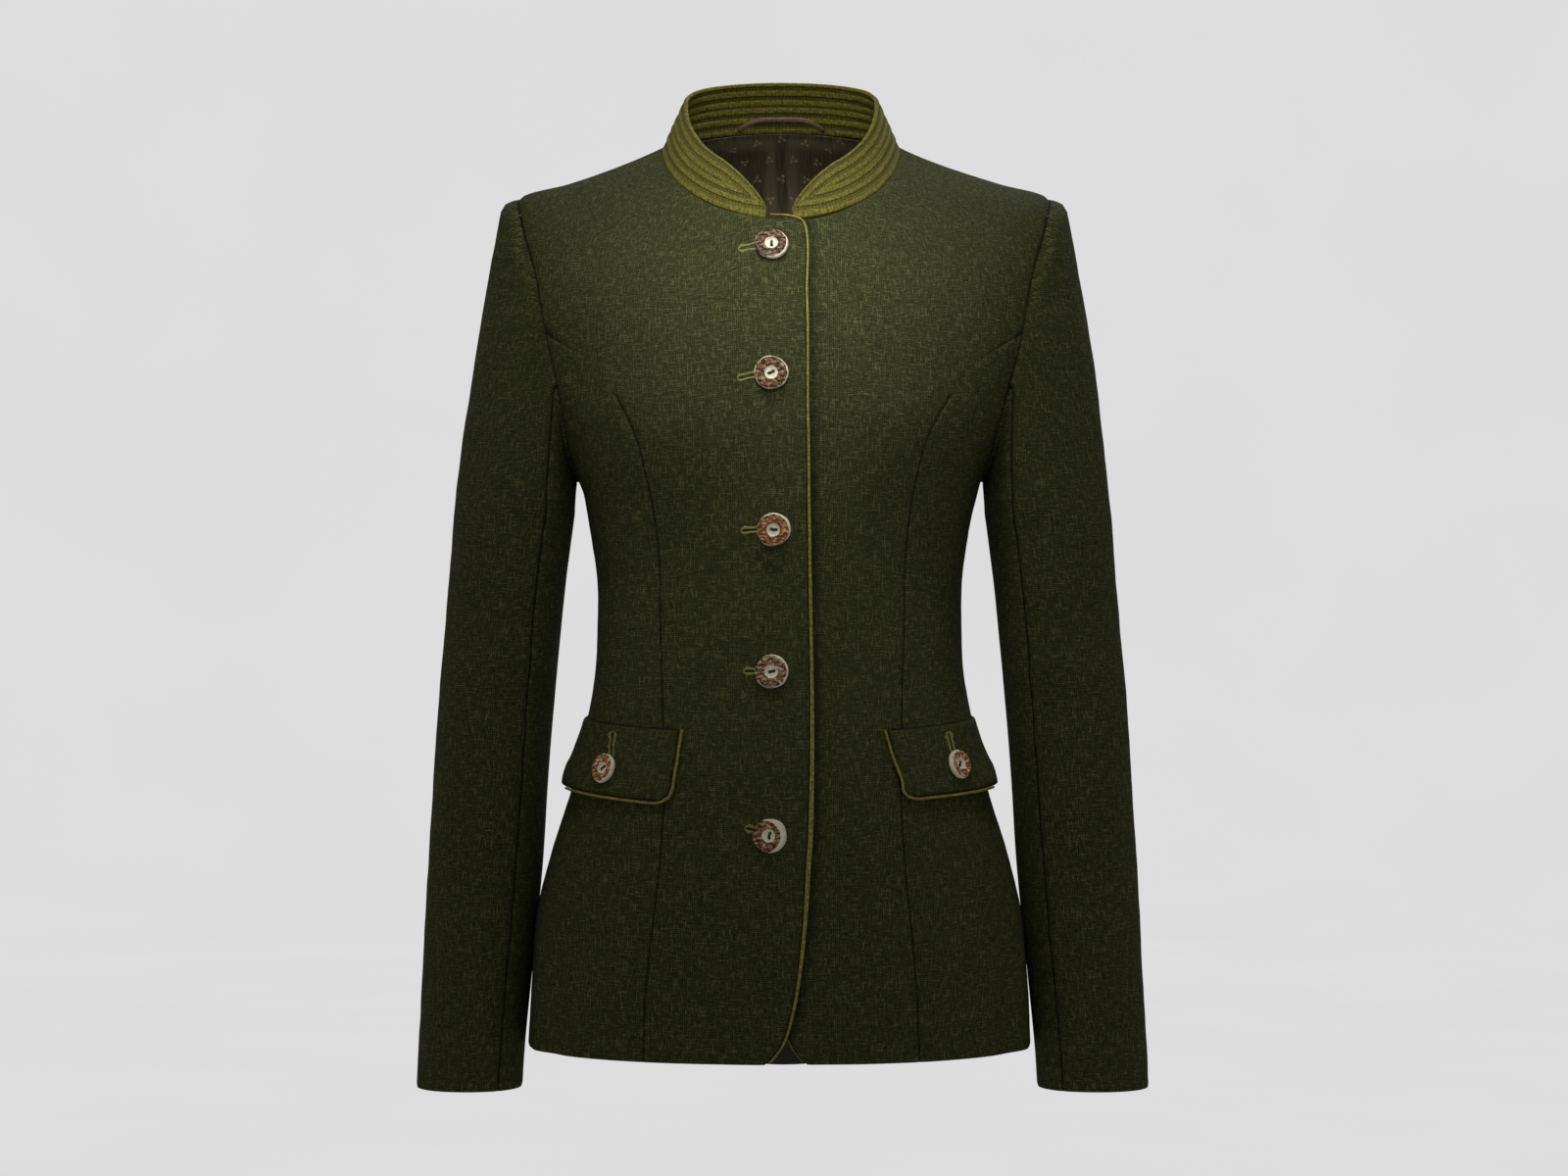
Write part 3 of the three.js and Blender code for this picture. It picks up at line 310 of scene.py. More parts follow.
def creased(place: np.ndarray, ends: Sequence[float], wide: float, high: float) -> np.ndarray:
    """The height of one crease: strongest at its middle, gone at its ends.

    Args:
        place: Flat places, as [..., 2].
        ends: The two ends, as four numbers.
        wide: Its half width.
        high: Its height.

    Returns:
        The height at each place.
    """
    start, end = np.array(ends[:2], float), np.array(ends[2:4], float)
    way = end - start
    along = np.clip(((place - start) @ way) / (way @ way), 0, 1)
    bend = np.sin(along * math.pi) * 0.12 * np.linalg.norm(way)
    off = np.linalg.norm(place - (start + along[..., None] * way), axis=-1)
    side = ((place - start) @ np.array([-way[1], way[0]])) / np.linalg.norm(way)
    off = np.where((along > 0) & (along < 1), np.abs(side - bend), off)
    return high * bell(off, wide) * np.sin(math.pi * np.clip(along, 0.04, 0.96)) ** 0.7


def hang(p: np.ndarray) -> np.ndarray:
    """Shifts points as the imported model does: the jacket hangs slightly to its own right."""
    away = np.abs(p[..., 0])
    low = smooth(-150, -250, p[..., 2]) * smooth(55, 125, away)
    body = low * mix(1, HANG_SLEEVE, smooth(178, 236, away))
    neck = smooth(-60, -5, p[..., 2]) * (1 - smooth(90, 160, away))
    moved = p.copy()
    moved[..., 0] += HANG_SHIFT * body + NECK_SHIFT * neck
    return moved


# ---- The body's surface ----
class BodySurface:
    """The jacket's body as one surface, kept as a fine table of points.

    A place is [u, t]: |u| runs from 0 at centre front through 1 at the side to 2 at centre back, and is
    negative on the right; t is the row of BODY.
    """

    DOWN = 20
    ACROSS = 80
    LEVEL_ROW = 10

    def __init__(self) -> None:
        """Works out the tables of points, directions and runs from BODY."""
        rows = cubic(BODY, np.linspace(0, HEM_ROW, HEM_ROW * self.DOWN + 1))
        side_z, half, side_y, front_z, front_y, back_z, back_y, power, dip = (
            rows[:, k:k + 1] for k in range(rows.shape[1]))
        angle = np.linspace(0, math.pi / 2, self.ACROSS + 1)[None, :]
        halves = []
        for end_z, end_y in ((front_z, front_y), (back_z, back_y)):
            to_end = np.cos(angle).clip(0) ** (2 / power)
            x = half * np.sin(angle) ** (2 / power)
            points = np.stack([x, mix(side_y, end_y, to_end), mix(side_z, end_z, to_end ** dip)], axis=-1)
            halves.append(np.stack([resampled(ring, self.ACROSS) for ring in points]))
        front, back = halves
        rise = BUST_RISE * bell(front[..., 0] - BUST_X, BUST_WIDE) * bell(front[..., 2] - BUST_Z, BUST_TALL)
        front[..., 1] -= rise * smooth(0, -40, front[..., 1])
        self.points = np.concatenate([front, back[:, -2::-1]], axis=1)
        across = grid_run(self.points, 1)
        across = np.where(np.arange(across.shape[1]) > self.ACROSS, across - across[:, -1:], across)
        down = grid_run(self.points, 0)
        down -= down[self.LEVEL_ROW * self.DOWN]
        self.runs = np.stack([across, down, 0 * down], axis=-1)
        mirror = np.array([-1.0, 1.0, 1.0])
        before, after = self.points[:, 1:2] * mirror, self.points[:, -2:-1] * mirror
        wide = np.concatenate([before, self.points, after], axis=1)
        across = wide[:, 2:] - wide[:, :-2]
        down = np.gradient(self.points, axis=0)
        self.normals = -unit(np.cross(across, down))

    def _read(self, table: np.ndarray, place: np.ndarray) -> np.ndarray:
        """Reads a table of vectors between its rows and columns, mirrored on the right side."""
        u, t = place[..., 0], place[..., 1]
        a = np.clip(np.abs(u), 0, 2) * self.ACROSS
        b = np.clip(t, 0, HEM_ROW) * self.DOWN
        i = np.clip(a.astype(int), 0, table.shape[1] - 2)
        j = np.clip(b.astype(int), 0, table.shape[0] - 2)
        fa, fb = (a - i)[..., None], (b - j)[..., None]
        value = mix(mix(table[j, i], table[j, i + 1], fa), mix(table[j + 1, i], table[j + 1, i + 1], fa), fb)
        value[..., 0] *= np.where(u < 0, -1.0, 1.0)
        return value

    def point(self, place: Sequence) -> np.ndarray:
        """The points of the surface at places."""
        return self._read(self.points, np.asarray(place, float))

    def normal(self, place: Sequence) -> np.ndarray:
        """The surface's outward directions at places."""
        return unit(self._read(self.normals, np.asarray(place, float)))

    def flat(self, place: Sequence) -> np.ndarray:
        """How far places are round the body from centre front or back, and how far below the waist."""
        return self._read(self.runs, np.asarray(place, float))[..., :2]

    def locate(self, x: float, z: float, back: bool = False) -> np.ndarray:
        """Finds a place on the body from the front or from the back.

        Args:
            x: How far to the wearer's left it is.
            z: Its height.
            back: Whether it lies on the back.

        Returns:
            The place [u, t].
        """
        part = self.points[:, self.ACROSS:] if back else self.points[:, :self.ACROSS + 1]
        off = np.hypot(part[..., 0] - abs(x), part[..., 2] - z)
        j, i = np.unravel_index(np.argmin(off), off.shape)
        u, t = i / self.ACROSS + (1 if back else 0), j / self.DOWN
        low, high = (1, 2) if back else (0, 1)
        step = 1e-2
        for _ in range(12):
            p, pu, pt = self.point([[u, t], [min(high, u + step), t], [u, min(HEM_ROW, t + step)]])
            if u + step > high:
                du = (p - self.point([u - step, t])) / step
            else:
                du = (pu - p) / step
            dt = (p - self.point([u, t - step])) / step if t + step > HEM_ROW else (pt - p) / step
            dx, dz = abs(x) - p[0], z - p[2]
            det = du[0] * dt[2] - du[2] * dt[0]
            if abs(det) < 1e-6 or math.hypot(dx, dz) < 1e-4:
                break
            u = min(high, max(low, u + 0.8 * (dx * dt[2] - dz * dt[0]) / det))
            t = min(HEM_ROW, max(0.0, t + 0.8 * (du[0] * dz - du[2] * dx) / det))
        return np.array([u * (-1 if x < 0 else 1), t])

    def relief(self, place: np.ndarray, p: np.ndarray) -> np.ndarray:
        """The height of the body's folds, creases and small waves.

        Args:
            place: Places [u, t].
            p: The surface's plain points there.

        Returns:
            The height at each place.
        """
        u, z = place[..., 0], p[..., 2]
        total = np.zeros(u.shape)
        for at, top, bottom, wide, height, lean in BODY_FOLDS:
            run = np.clip((top - z) / (top - bottom), 0, 1)
            along = smooth(0, 0.55, run) if bottom < -640 else np.sin(math.pi * run) ** 2
            total += height * along * bell(u - at - lean * run, wide)
        flat = p[..., [0, 2]]
        for face, creases in ((1, FRONT_CREASES), (-1, BACK_CREASES)):
            for *ends, wide, high in creases:
                total += creased(flat, ends, wide, high) * (np.sign(1 - np.abs(u)) == face)
        loose = smooth(-120, -260, z)
        return total + 0.22 * ripple(p, 46, 3) * (0.4 + loose) + 0.09 * ripple(p, 15, 5) * (0.5 + loose)


SURFACE = BodySurface()


def lap_rise(x: Number, side: Side) -> Number:
    """How far the right front is raised, or the left one sunk, at x, so that they lap."""
    return -side.value * LAP_RISE * (1 - smooth(LAP_FULL, LAP_NONE, side.value * x))


# ---- Meshes ----
@dataclass
class Piece:
    """A finished mesh piece and what it stands for."""

    name: str
    node: str
    slot: str
    material: bpy.types.Material
    thing: bpy.types.Object | None = None

    def make(self, points: np.ndarray, faces: list) -> "Piece":
        """Makes the object from points in millimetres.

        Args:
            points: The vertices, as [n, 3].
            faces: Lists of vertex numbers.

        Returns:
            The piece itself.
        """
        mesh = bpy.data.meshes.new(self.name)
        mesh.from_pydata((points * MM).tolist(), [], faces)
        mesh.validate()
        work = bmesh.new()
        work.from_mesh(mesh)
        bmesh.ops.recalc_face_normals(work, faces=work.faces)
        work.to_mesh(mesh)
        work.free()
        mesh.shade_smooth()
        mesh.materials.append(self.material)
        self.thing = bpy.data.objects.new(self.name, mesh)
        bpy.context.scene.collection.objects.link(self.thing)
        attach(self.thing, "root")
        if self.node:
            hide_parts(self.node)
        LOG.info("%s made, %d faces", self.name, len(mesh.polygons))
        return self

    def measure(self, name: str, values: np.ndarray) -> "Piece":
        """Gives every vertex a number that the materials read, such as its distance from a seam."""
        layer = self.thing.data.attributes.new(name, "FLOAT", "POINT")
        layer.data.foreach_set("value", np.asarray(values, np.float32).ravel())
        return self

    def unfold(self, flat: np.ndarray) -> "Piece":
        """Gives every vertex its place in the cut cloth, in metres, as the piece's UVs."""
        mesh = self.thing.data
        layer = mesh.uv_layers.new(name="UVMap")
        corners = np.empty(len(mesh.loops), np.int32)
        mesh.loops.foreach_get("vertex_index", corners)
        layer.data.foreach_set("uv", (flat.reshape(-1, 2)[corners] * MM).astype(np.float32).ravel())
        return self


def shell_faces(rows: int, columns: int) -> list:
    """The faces of a closed wall between two grids of points.

    Args:
        rows: The rows of each grid.
        columns: The columns of each grid.

    Returns:
        Lists of vertex numbers, where the outer grid's points come first.
    """
    def at(layer: int, j: Number, i: Number) -> Number:
        """The number of the vertex in row j and column i of a layer."""
        return layer * rows * columns + j * columns + i

    j, i = (a.ravel() for a in np.meshgrid(np.arange(rows - 1), np.arange(columns - 1), indexing="ij"))
    outer = np.stack([at(0, j, i), at(0, j, i + 1), at(0, j + 1, i + 1), at(0, j + 1, i)], axis=1)
    inner = np.stack([at(1, j, i), at(1, j + 1, i), at(1, j + 1, i + 1), at(1, j, i + 1)], axis=1)
    c, r = np.arange(columns - 1), np.arange(rows - 1)
    low, far = rows - 1, columns - 1
    rims = [
        np.stack([at(0, 0, c), at(1, 0, c), at(1, 0, c + 1), at(0, 0, c + 1)], axis=1),
        np.stack([at(0, low, c), at(0, low, c + 1), at(1, low, c + 1), at(1, low, c)], axis=1),
        np.stack([at(0, r, 0), at(0, r + 1, 0), at(1, r + 1, 0), at(1, r, 0)], axis=1),
        np.stack([at(0, r, far), at(1, r, far), at(1, r + 1, far), at(0, r + 1, far)], axis=1),
    ]
    return np.vstack([outer, inner, *rims]).tolist()


class Rim(Enum):
    """What becomes of one side of a cut piece."""

    SEWN = "sewn"
    FREE = "free"


HEMMED = (Rim.SEWN, Rim.SEWN, Rim.SEWN, Rim.FREE)


def from_edge(points: np.ndarray, edge: np.ndarray, reach: int = 12) -> np.ndarray:
    """Measures how far a grid's points are from the line down one of its sides.

    Args:
        points: The grid, by rows.
        edge: The line's points, one for each row.
        reach: How many rows up and down the line is looked along.

    Returns:
        The distances, by rows.
    """
    rows = np.arange(len(edge))
    nearest = np.full(points.shape[:2], np.inf)
    for away in range(-reach, reach):
        first = np.clip(rows + away, 0, len(edge) - 2)
        start, way = edge[first][:, None], (edge[first + 1] - edge[first])[:, None]
        length = np.maximum((way ** 2).sum(axis=-1), 1e-9)
        share = np.clip(((points - start) * way).sum(axis=-1) / length, 0, 1)
        nearest = np.minimum(nearest, np.linalg.norm(points - start - way * share[..., None], axis=-1))
    return nearest


@dataclass
class Cloth:
    """A cut piece of cloth as a grid of middle points with their outward directions.

    rims are the pieces' left, right, top and bottom sides, and shadow is how much wider than a plain
    seam's the dark line along its sewn sides is.
    """

    points: np.ndarray
    normals: np.ndarray
    rims: tuple[Rim, Rim, Rim, Rim]
    thick: float = CLOTH
    relief: np.ndarray | float = 0.0
    flat: np.ndarray | None = None
    shadow: float = 1.0
    distance: dict = field(default_factory=dict)

    def __post_init__(self) -> None:
        """Measures how far every point is from the sewn and the free sides."""
        left, top = grid_run(self.points, 1), grid_run(self.points, 0)
        p, turned = self.points, self.points.swapaxes(0, 1)
        ways = (np.minimum(left, from_edge(p, p[:, 0])),
                np.minimum(left[:, -1:] - left, from_edge(p, p[:, -1])),
                np.minimum(top, from_edge(turned, p[0]).T),
                np.minimum(top[-1:] - top, from_edge(turned, p[-1]).T))
        for kind in Rim:
            chosen = [way for way, rim in zip(ways, self.rims) if rim is kind]
            self.distance[kind] = np.min(chosen, axis=0) if chosen else np.full(left.shape, FAR)
        middle = left[:, left.shape[1] // 2:left.shape[1] // 2 + 1]
        mean_down = top[:, top.shape[1] // 2:top.shape[1] // 2 + 1] + np.zeros_like(top)
        if self.flat is None:
            self.flat = np.stack([left - middle, mix(mean_down, top, 0.5)], axis=-1)
        self.inset()

    def inset(self) -> None:
        """Draws the outermost rows and columns in a little, so that two pieces just meet in a seam."""
        p = self.points
        for here, beside in ((np.s_[:, 0], np.s_[:, 1]), (np.s_[:, -1], np.s_[:, -2]),
                             (np.s_[0], np.s_[1]), (np.s_[-1], np.s_[-2])):
            p[here] += unit(p[beside] - p[here]) * CLOSED

    def wall(self, piece: Piece) -> Piece:
        """Makes the piece as a closed wall, rounded in at sewn sides and rolled at free ones."""
        sewn, free = self.distance[Rim.SEWN], self.distance[Rim.FREE]
        turn = 0.5 * self.thick
        dip = 0.92 * turn * bell(sewn, 1.5) + 0.62 * turn * bell(free, 0.9)
        swell = 0.16 * bell(sewn - 5.0, 3.2)
        up = self.relief + turn - dip + swell
        down = self.relief - turn + 0.6 * turn * bell(free, 0.9)
        outer = self.points + self.normals * np.asarray(up)[..., None]
        inner = self.points + self.normals * np.asarray(down)[..., None]
        rows, columns = self.points.shape[:2]
        points = hang(np.concatenate([outer.reshape(-1, 3), inner.reshape(-1, 3)]))
        piece.make(points, shell_faces(rows, columns))
        piece.unfold(np.tile(self.flat.reshape(-1, 2), (2, 1)))
        piece.measure("seam", np.tile(sewn.ravel(), 2) * MM / self.shadow)
        piece.measure("edge", np.tile(free.ravel(), 2) * MM)
        piece.measure("inside", np.repeat([0.0, 1.0], rows * columns))
        return piece

    @property
    def cut(self) -> tuple[float, float, float]:
        """The piece's width, length and area in metres, laid flat."""
        across, down = grid_run(self.points, 1)[:, -1].max(), grid_run(self.points, 0)[-1].max()
        a = self.points[1:, 1:] - self.points[:-1, :-1]
        b = self.points[1:, :-1] - self.points[:-1, 1:]
        area = 0.5 * np.linalg.norm(np.cross(a, b), axis=2).sum()
        return across * MM, down * MM, area * MM * MM


def crowded(count: int) -> np.ndarray:
    """Places from 0 to 1, evenly spaced but closer at both ends, for the turn of a seam."""
    step = 1 / count
    near = np.array([0.0, 0.12, 0.3, 0.6]) * step
    return np.concatenate([near, np.linspace(step, 1 - step, count - 1), 1 - near[::-1]])


def at_share(edge: np.ndarray, share: np.ndarray) -> np.ndarray:
    """Reads an edge's points at shares of its number of steps."""
    index = np.linspace(0, 1, len(edge))
    return np.stack([np.interp(share, index, edge[:, k]) for k in range(edge.shape[1])], axis=-1)


def filled(left: np.ndarray, right: np.ndarray, top: np.ndarray, bottom: np.ndarray, across: np.ndarray,
           down: np.ndarray) -> np.ndarray:
    """Fills four edges with a grid of places.

    Args:
        left, right: The edges that run down.
        top, bottom: The edges that run across.
        across, down: Where the grid's columns and rows are, from 0 to 1.

    Returns:
        The places, by rows.
    """
    a, b = across[None, :, None], down[:, None, None]
    sides = mix(at_share(left, down)[:, None], at_share(right, down)[:, None], a)
    ends = mix(at_share(top, across)[None], at_share(bottom, across)[None], b)
    return sides + ends - mix(mix(top[0], top[-1], a), mix(bottom[0], bottom[-1], a), b)


def straight(start: Sequence, end: Sequence) -> np.ndarray:
    """A straight edge between two places."""
    return np.linspace(start, end, 65)


def laid(knots: Sequence, count: int) -> np.ndarray:
    """count + 1 places on the curve through knots, evenly spaced on the cloth itself."""
    places = curve(knots)
    along = running(SURFACE.point(places))
    want = np.linspace(0, along[-1], count + 1)
    return np.stack([np.interp(want, along, places[:, k]) for k in (0, 1)], axis=1)


# ---- Seams ----
@dataclass
class Seams:
    """The seams of one side, as lines of places on the body."""

    side: Side
    per: int = 6

    def __post_init__(self) -> None:
        """Lays the seams on the body."""
        sign = self.side.value
        tip, underarm = np.array([sign, TIP_ROW]), np.array([sign, UNDERARM_ROW])

        def on_body(table: Sequence, back: bool) -> list:
            """The places of a table's points, on the front or on the back."""
            return [SURFACE.locate(sign * x, z, back) for x, z in table]

        front_upper = [tip, *on_body(ARMHOLE_FRONT_UPPER, False)]
        back_upper = [tip, *on_body(ARMHOLE_BACK_UPPER, True)]
        front_lower = [front_upper[-1], *on_body(ARMHOLE_FRONT_LOWER, False), underarm]
        back_lower = [back_upper[-1], *on_body(ARMHOLE_BACK_LOWER, True), underarm]
        whole = 4 * self.per
        self.front_upper = curve(front_upper, self.per)
        self.back_upper = curve(back_upper, self.per)
        self.front_lower = curve(front_lower, self.per)
        self.back_lower = curve(back_lower, self.per)
        self.shoulder = laid([[sign, 0], [sign, 1.5], tip], whole)
        self.princess_front = laid([front_upper[-1], *on_body(PRINCESS_FRONT, False)], 20 * self.per)
        self.princess_back = laid([back_upper[-1], *on_body(PRINCESS_BACK, True)], 20 * self.per)
        self.side_seam = laid([underarm, [sign, 13], [sign, HEM_ROW]], 20 * self.per)

    def edge_place(self, row: Sequence[float]) -> np.ndarray:
        """The place of the front's outer edge at one row of FRONT_EDGE, less what its piping takes."""
        z, x, piping = row
        edge = x - (piping + SEAM_GAP)
        return SURFACE.locate(edge if self.side is Side.RIGHT else LEFT_EDGE_SHIFT - edge, z)

    @staticmethod
    def _between(edge: np.ndarray, outside: np.ndarray, columns: int) -> np.ndarray:
        """A grid of places between two edges that run from the neck to the hem."""
        neck, hem = straight(edge[0], outside[0]), straight(edge[-1], outside[-1])
        return filled(edge, outside, neck, hem, crowded(columns), crowded(len(outside) - 1))

    @property
    def front(self) -> np.ndarray:
        """The front panel's grid of places."""
        outside = np.vstack([self.shoulder, self.front_upper[1:], self.princess_front[1:]])
        edge = laid([self.edge_place(row) for row in FRONT_EDGE], len(outside) - 1)
        return self._between(edge, outside, 54)

    @property
    def back(self) -> np.ndarray:
        """The back panel's grid of places."""
        outside = np.vstack([self.shoulder, self.back_upper[1:], self.princess_back[1:]])
        sign = self.side.value
        return self._between(straight([2 * sign, 0], [2 * sign, HEM_ROW]), outside, 48)

    def beside(self, princess: np.ndarray, armhole: np.ndarray) -> np.ndarray:
        """A side panel's grid of places, between a princess seam and the side seam."""
        bottom = straight(princess[-1], self.side_seam[-1])
        return filled(princess, self.side_seam, armhole, bottom, crowded(30), crowded(120))

    @property
    def armhole(self) -> np.ndarray:
        """The armhole as one loop of points, from the shoulder tip down the front and up the back."""
        places = [self.front_upper, self.front_lower[1:], self.back_lower[-2::-1], self.back_upper[-2:0:-1]]
        return SURFACE.point(np.vstack(places))


def panel(grid: np.ndarray, rise: Callable | None = None, shift: float = 0.0, thick: float = CLOTH) -> Cloth:
    """A panel of the body on a grid of places, sewn on all sides but its hem.

    Args:
        grid: Places [u, t].
        rise: Raises its points, from their x.
        shift: Moves the whole panel outwards.
        thick: Its thickness.

    Returns:
        The panel's cloth.
    """
    points, normals = SURFACE.point(grid), SURFACE.normal(grid)
    relief = SURFACE.relief(grid, points) + shift
    if rise is not None:
        relief = relief + rise(points[..., 0])
    return Cloth(points, normals, HEMMED, thick, relief, SURFACE.flat(grid))


# ---- Sleeves ----
class Sleeve:
    """A set-in sleeve: a grid with a column for each point of the armhole and a row for each level."""

    CAP_SHARES = np.concatenate([[0, 0.004, 0.009, 0.016], np.linspace(0.025, 1, 40)[:-1]])
    LEVELS = 92
    POWER = 2.15
    CAP_RISE, CAP_LIFT, CAP_ROPING, CAP_POWER = 9.2, 0.32, 0.04, 2.4

    def __init__(self, seams: Seams) -> None:
        """Works out the grid from the armhole and from SLEEVE."""
        self.side = seams.side
        loop = seams.armhole
        self.count = len(loop)
        self.turns = 2 * math.pi * np.arange(self.count) / self.count
        sign = self.side.value
        outward = np.stack([sign * np.cos(self.turns), -np.sin(self.turns), 0 * self.turns], axis=1)
        under = (1 - np.cos(self.turns)) / 2
        keep = ((1 + np.cos(self.turns)) / 2) ** 1.5
        first = self._ring(SLEEVE[0])
        rows = []
        for share in self.CAP_SHARES:
            apart = mix(-0.4, mix(0.5, 3.9, under), smooth(0, 0.03, share))
            start = loop + np.stack([sign * apart, 0 * apart, 0 * apart], axis=1)
            rise = smooth(-0.01, self.CAP_ROPING, share) * (1 - share ** self.CAP_POWER)
            lift = self.CAP_RISE * rise * keep
            rows.append(mix(start, first, share) + (outward + [0, 0, self.CAP_LIFT]) * lift[:, None])
        shares = self.turns / (2 * math.pi)
        clear = smooth(0.04, 0.2, np.abs(shares - 0.5)) * smooth(0.02, 0.12, np.minimum(shares, 1 - shares))
        for z in np.linspace(SLEEVE[0][0], SLEEVE[-1][0], self.LEVELS):
            past = int(np.argmax(SLEEVE[:, 0] <= z)) or 1
            at = past - 1 + (z - SLEEVE[past - 1][0]) / (SLEEVE[past][0] - SLEEVE[past - 1][0])
            lower, softer = LEFT_FOLDS if self.side is Side.LEFT else (0.0, 1.0)
            rise = softer * sum(
                height * bell(np.abs(((shares - turn + 1.5) % 1) - 0.5) * 2, wide)
                * bell(z - fold_z + lower, tall)
                for turn, fold_z, wide, tall, height in SLEEVE_FOLDS
            )
            rows.append(self._ring(cubic(SLEEVE, at)) + outward * (rise * clear)[:, None])
        self.points = np.array(rows)
        self.shares = shares
        wide = np.concatenate([self.points[:, -1:], self.points, self.points[:, :1]], axis=1)
        self.normals = sign * unit(np.cross(wide[:, 2:] - wide[:, :-2], np.gradient(self.points, axis=0)))
        self.relief = self._relief()
        self.flat = self._flat()

    def _flat(self) -> np.ndarray:
        """How far round from the outside every point is, and how far below the cap."""
        steps = np.linalg.norm(np.diff(self.points[-20], axis=0), axis=1).mean()
        half = self.count // 2
        index = np.arange(self.count)
        across = np.where(index > half, index - self.count, index) * steps
        down = grid_run(self.points, 0)
        down -= down[len(self.CAP_SHARES)]
        return np.stack([across[None] + 0 * down, down], axis=-1)

    def _ring(self, row: np.ndarray) -> np.ndarray:
        """The points round the sleeve at one row of SLEEVE."""
        z, outer, inner, y, depth = row
        cos, sin = (np.sign(v) * np.abs(v) ** (2 / self.POWER)
                    for v in (np.cos(self.turns), np.sin(self.turns)))
        x = (outer + inner) / 2 + (outer - inner) / 2 * cos
        return np.stack([self.side.value * x, y - depth / 2 * sin, z + 0 * x], axis=1)

    def _relief(self) -> np.ndarray:
        """The height of creases, of the puckers below the shoulder seam and of small waves."""
        z = self.points[..., 2]
        round_mm = self.shares * 300.0 + 0 * z
        place = np.stack([round_mm, z], axis=-1)
        total = np.zeros(z.shape)
        drift = 8.0 if self.side is Side.LEFT else 0.0
        for turn_a, z_a, turn_b, z_b, wide, high in SLEEVE_CREASES:
            total += creased(place, (turn_a * 300, z_a - drift, turn_b * 300, z_b - drift * 0.4), wide, high)
        down = grid_run(self.points, 0)
        top = ((1 + np.cos(self.turns)) / 2) ** 0.8
        pucker = np.sin(self.turns * 23 + 2 * np.sin(self.turns * 5)) * top
        total += 0.32 * pucker[None] * bell(down - 6, 7)
        inner = 1 - 0.8 * bell(self.shares - 0.5, 0.09)
        waves = 0.3 * ripple(self.points, 50, 11) + 0.12 * ripple(self.points, 17, 12)
        return (total + waves) * inner[None] * smooth(0, 10, down)

    def part(self, first: int, last: int) -> Cloth:
        """One of the sleeve's two pieces.

        Args:
            first: The column of the loop where it starts.
            last: The column where it ends.

        Returns:
            The piece's cloth.
        """
        columns = np.arange(first, last + 1) % self.count
        points, normals, relief, flat = (
            grid[:, columns] for grid in (self.points.copy(), self.normals, self.relief, self.flat))
        return Cloth(points, normals, HEMMED, CLOTH, relief, flat)


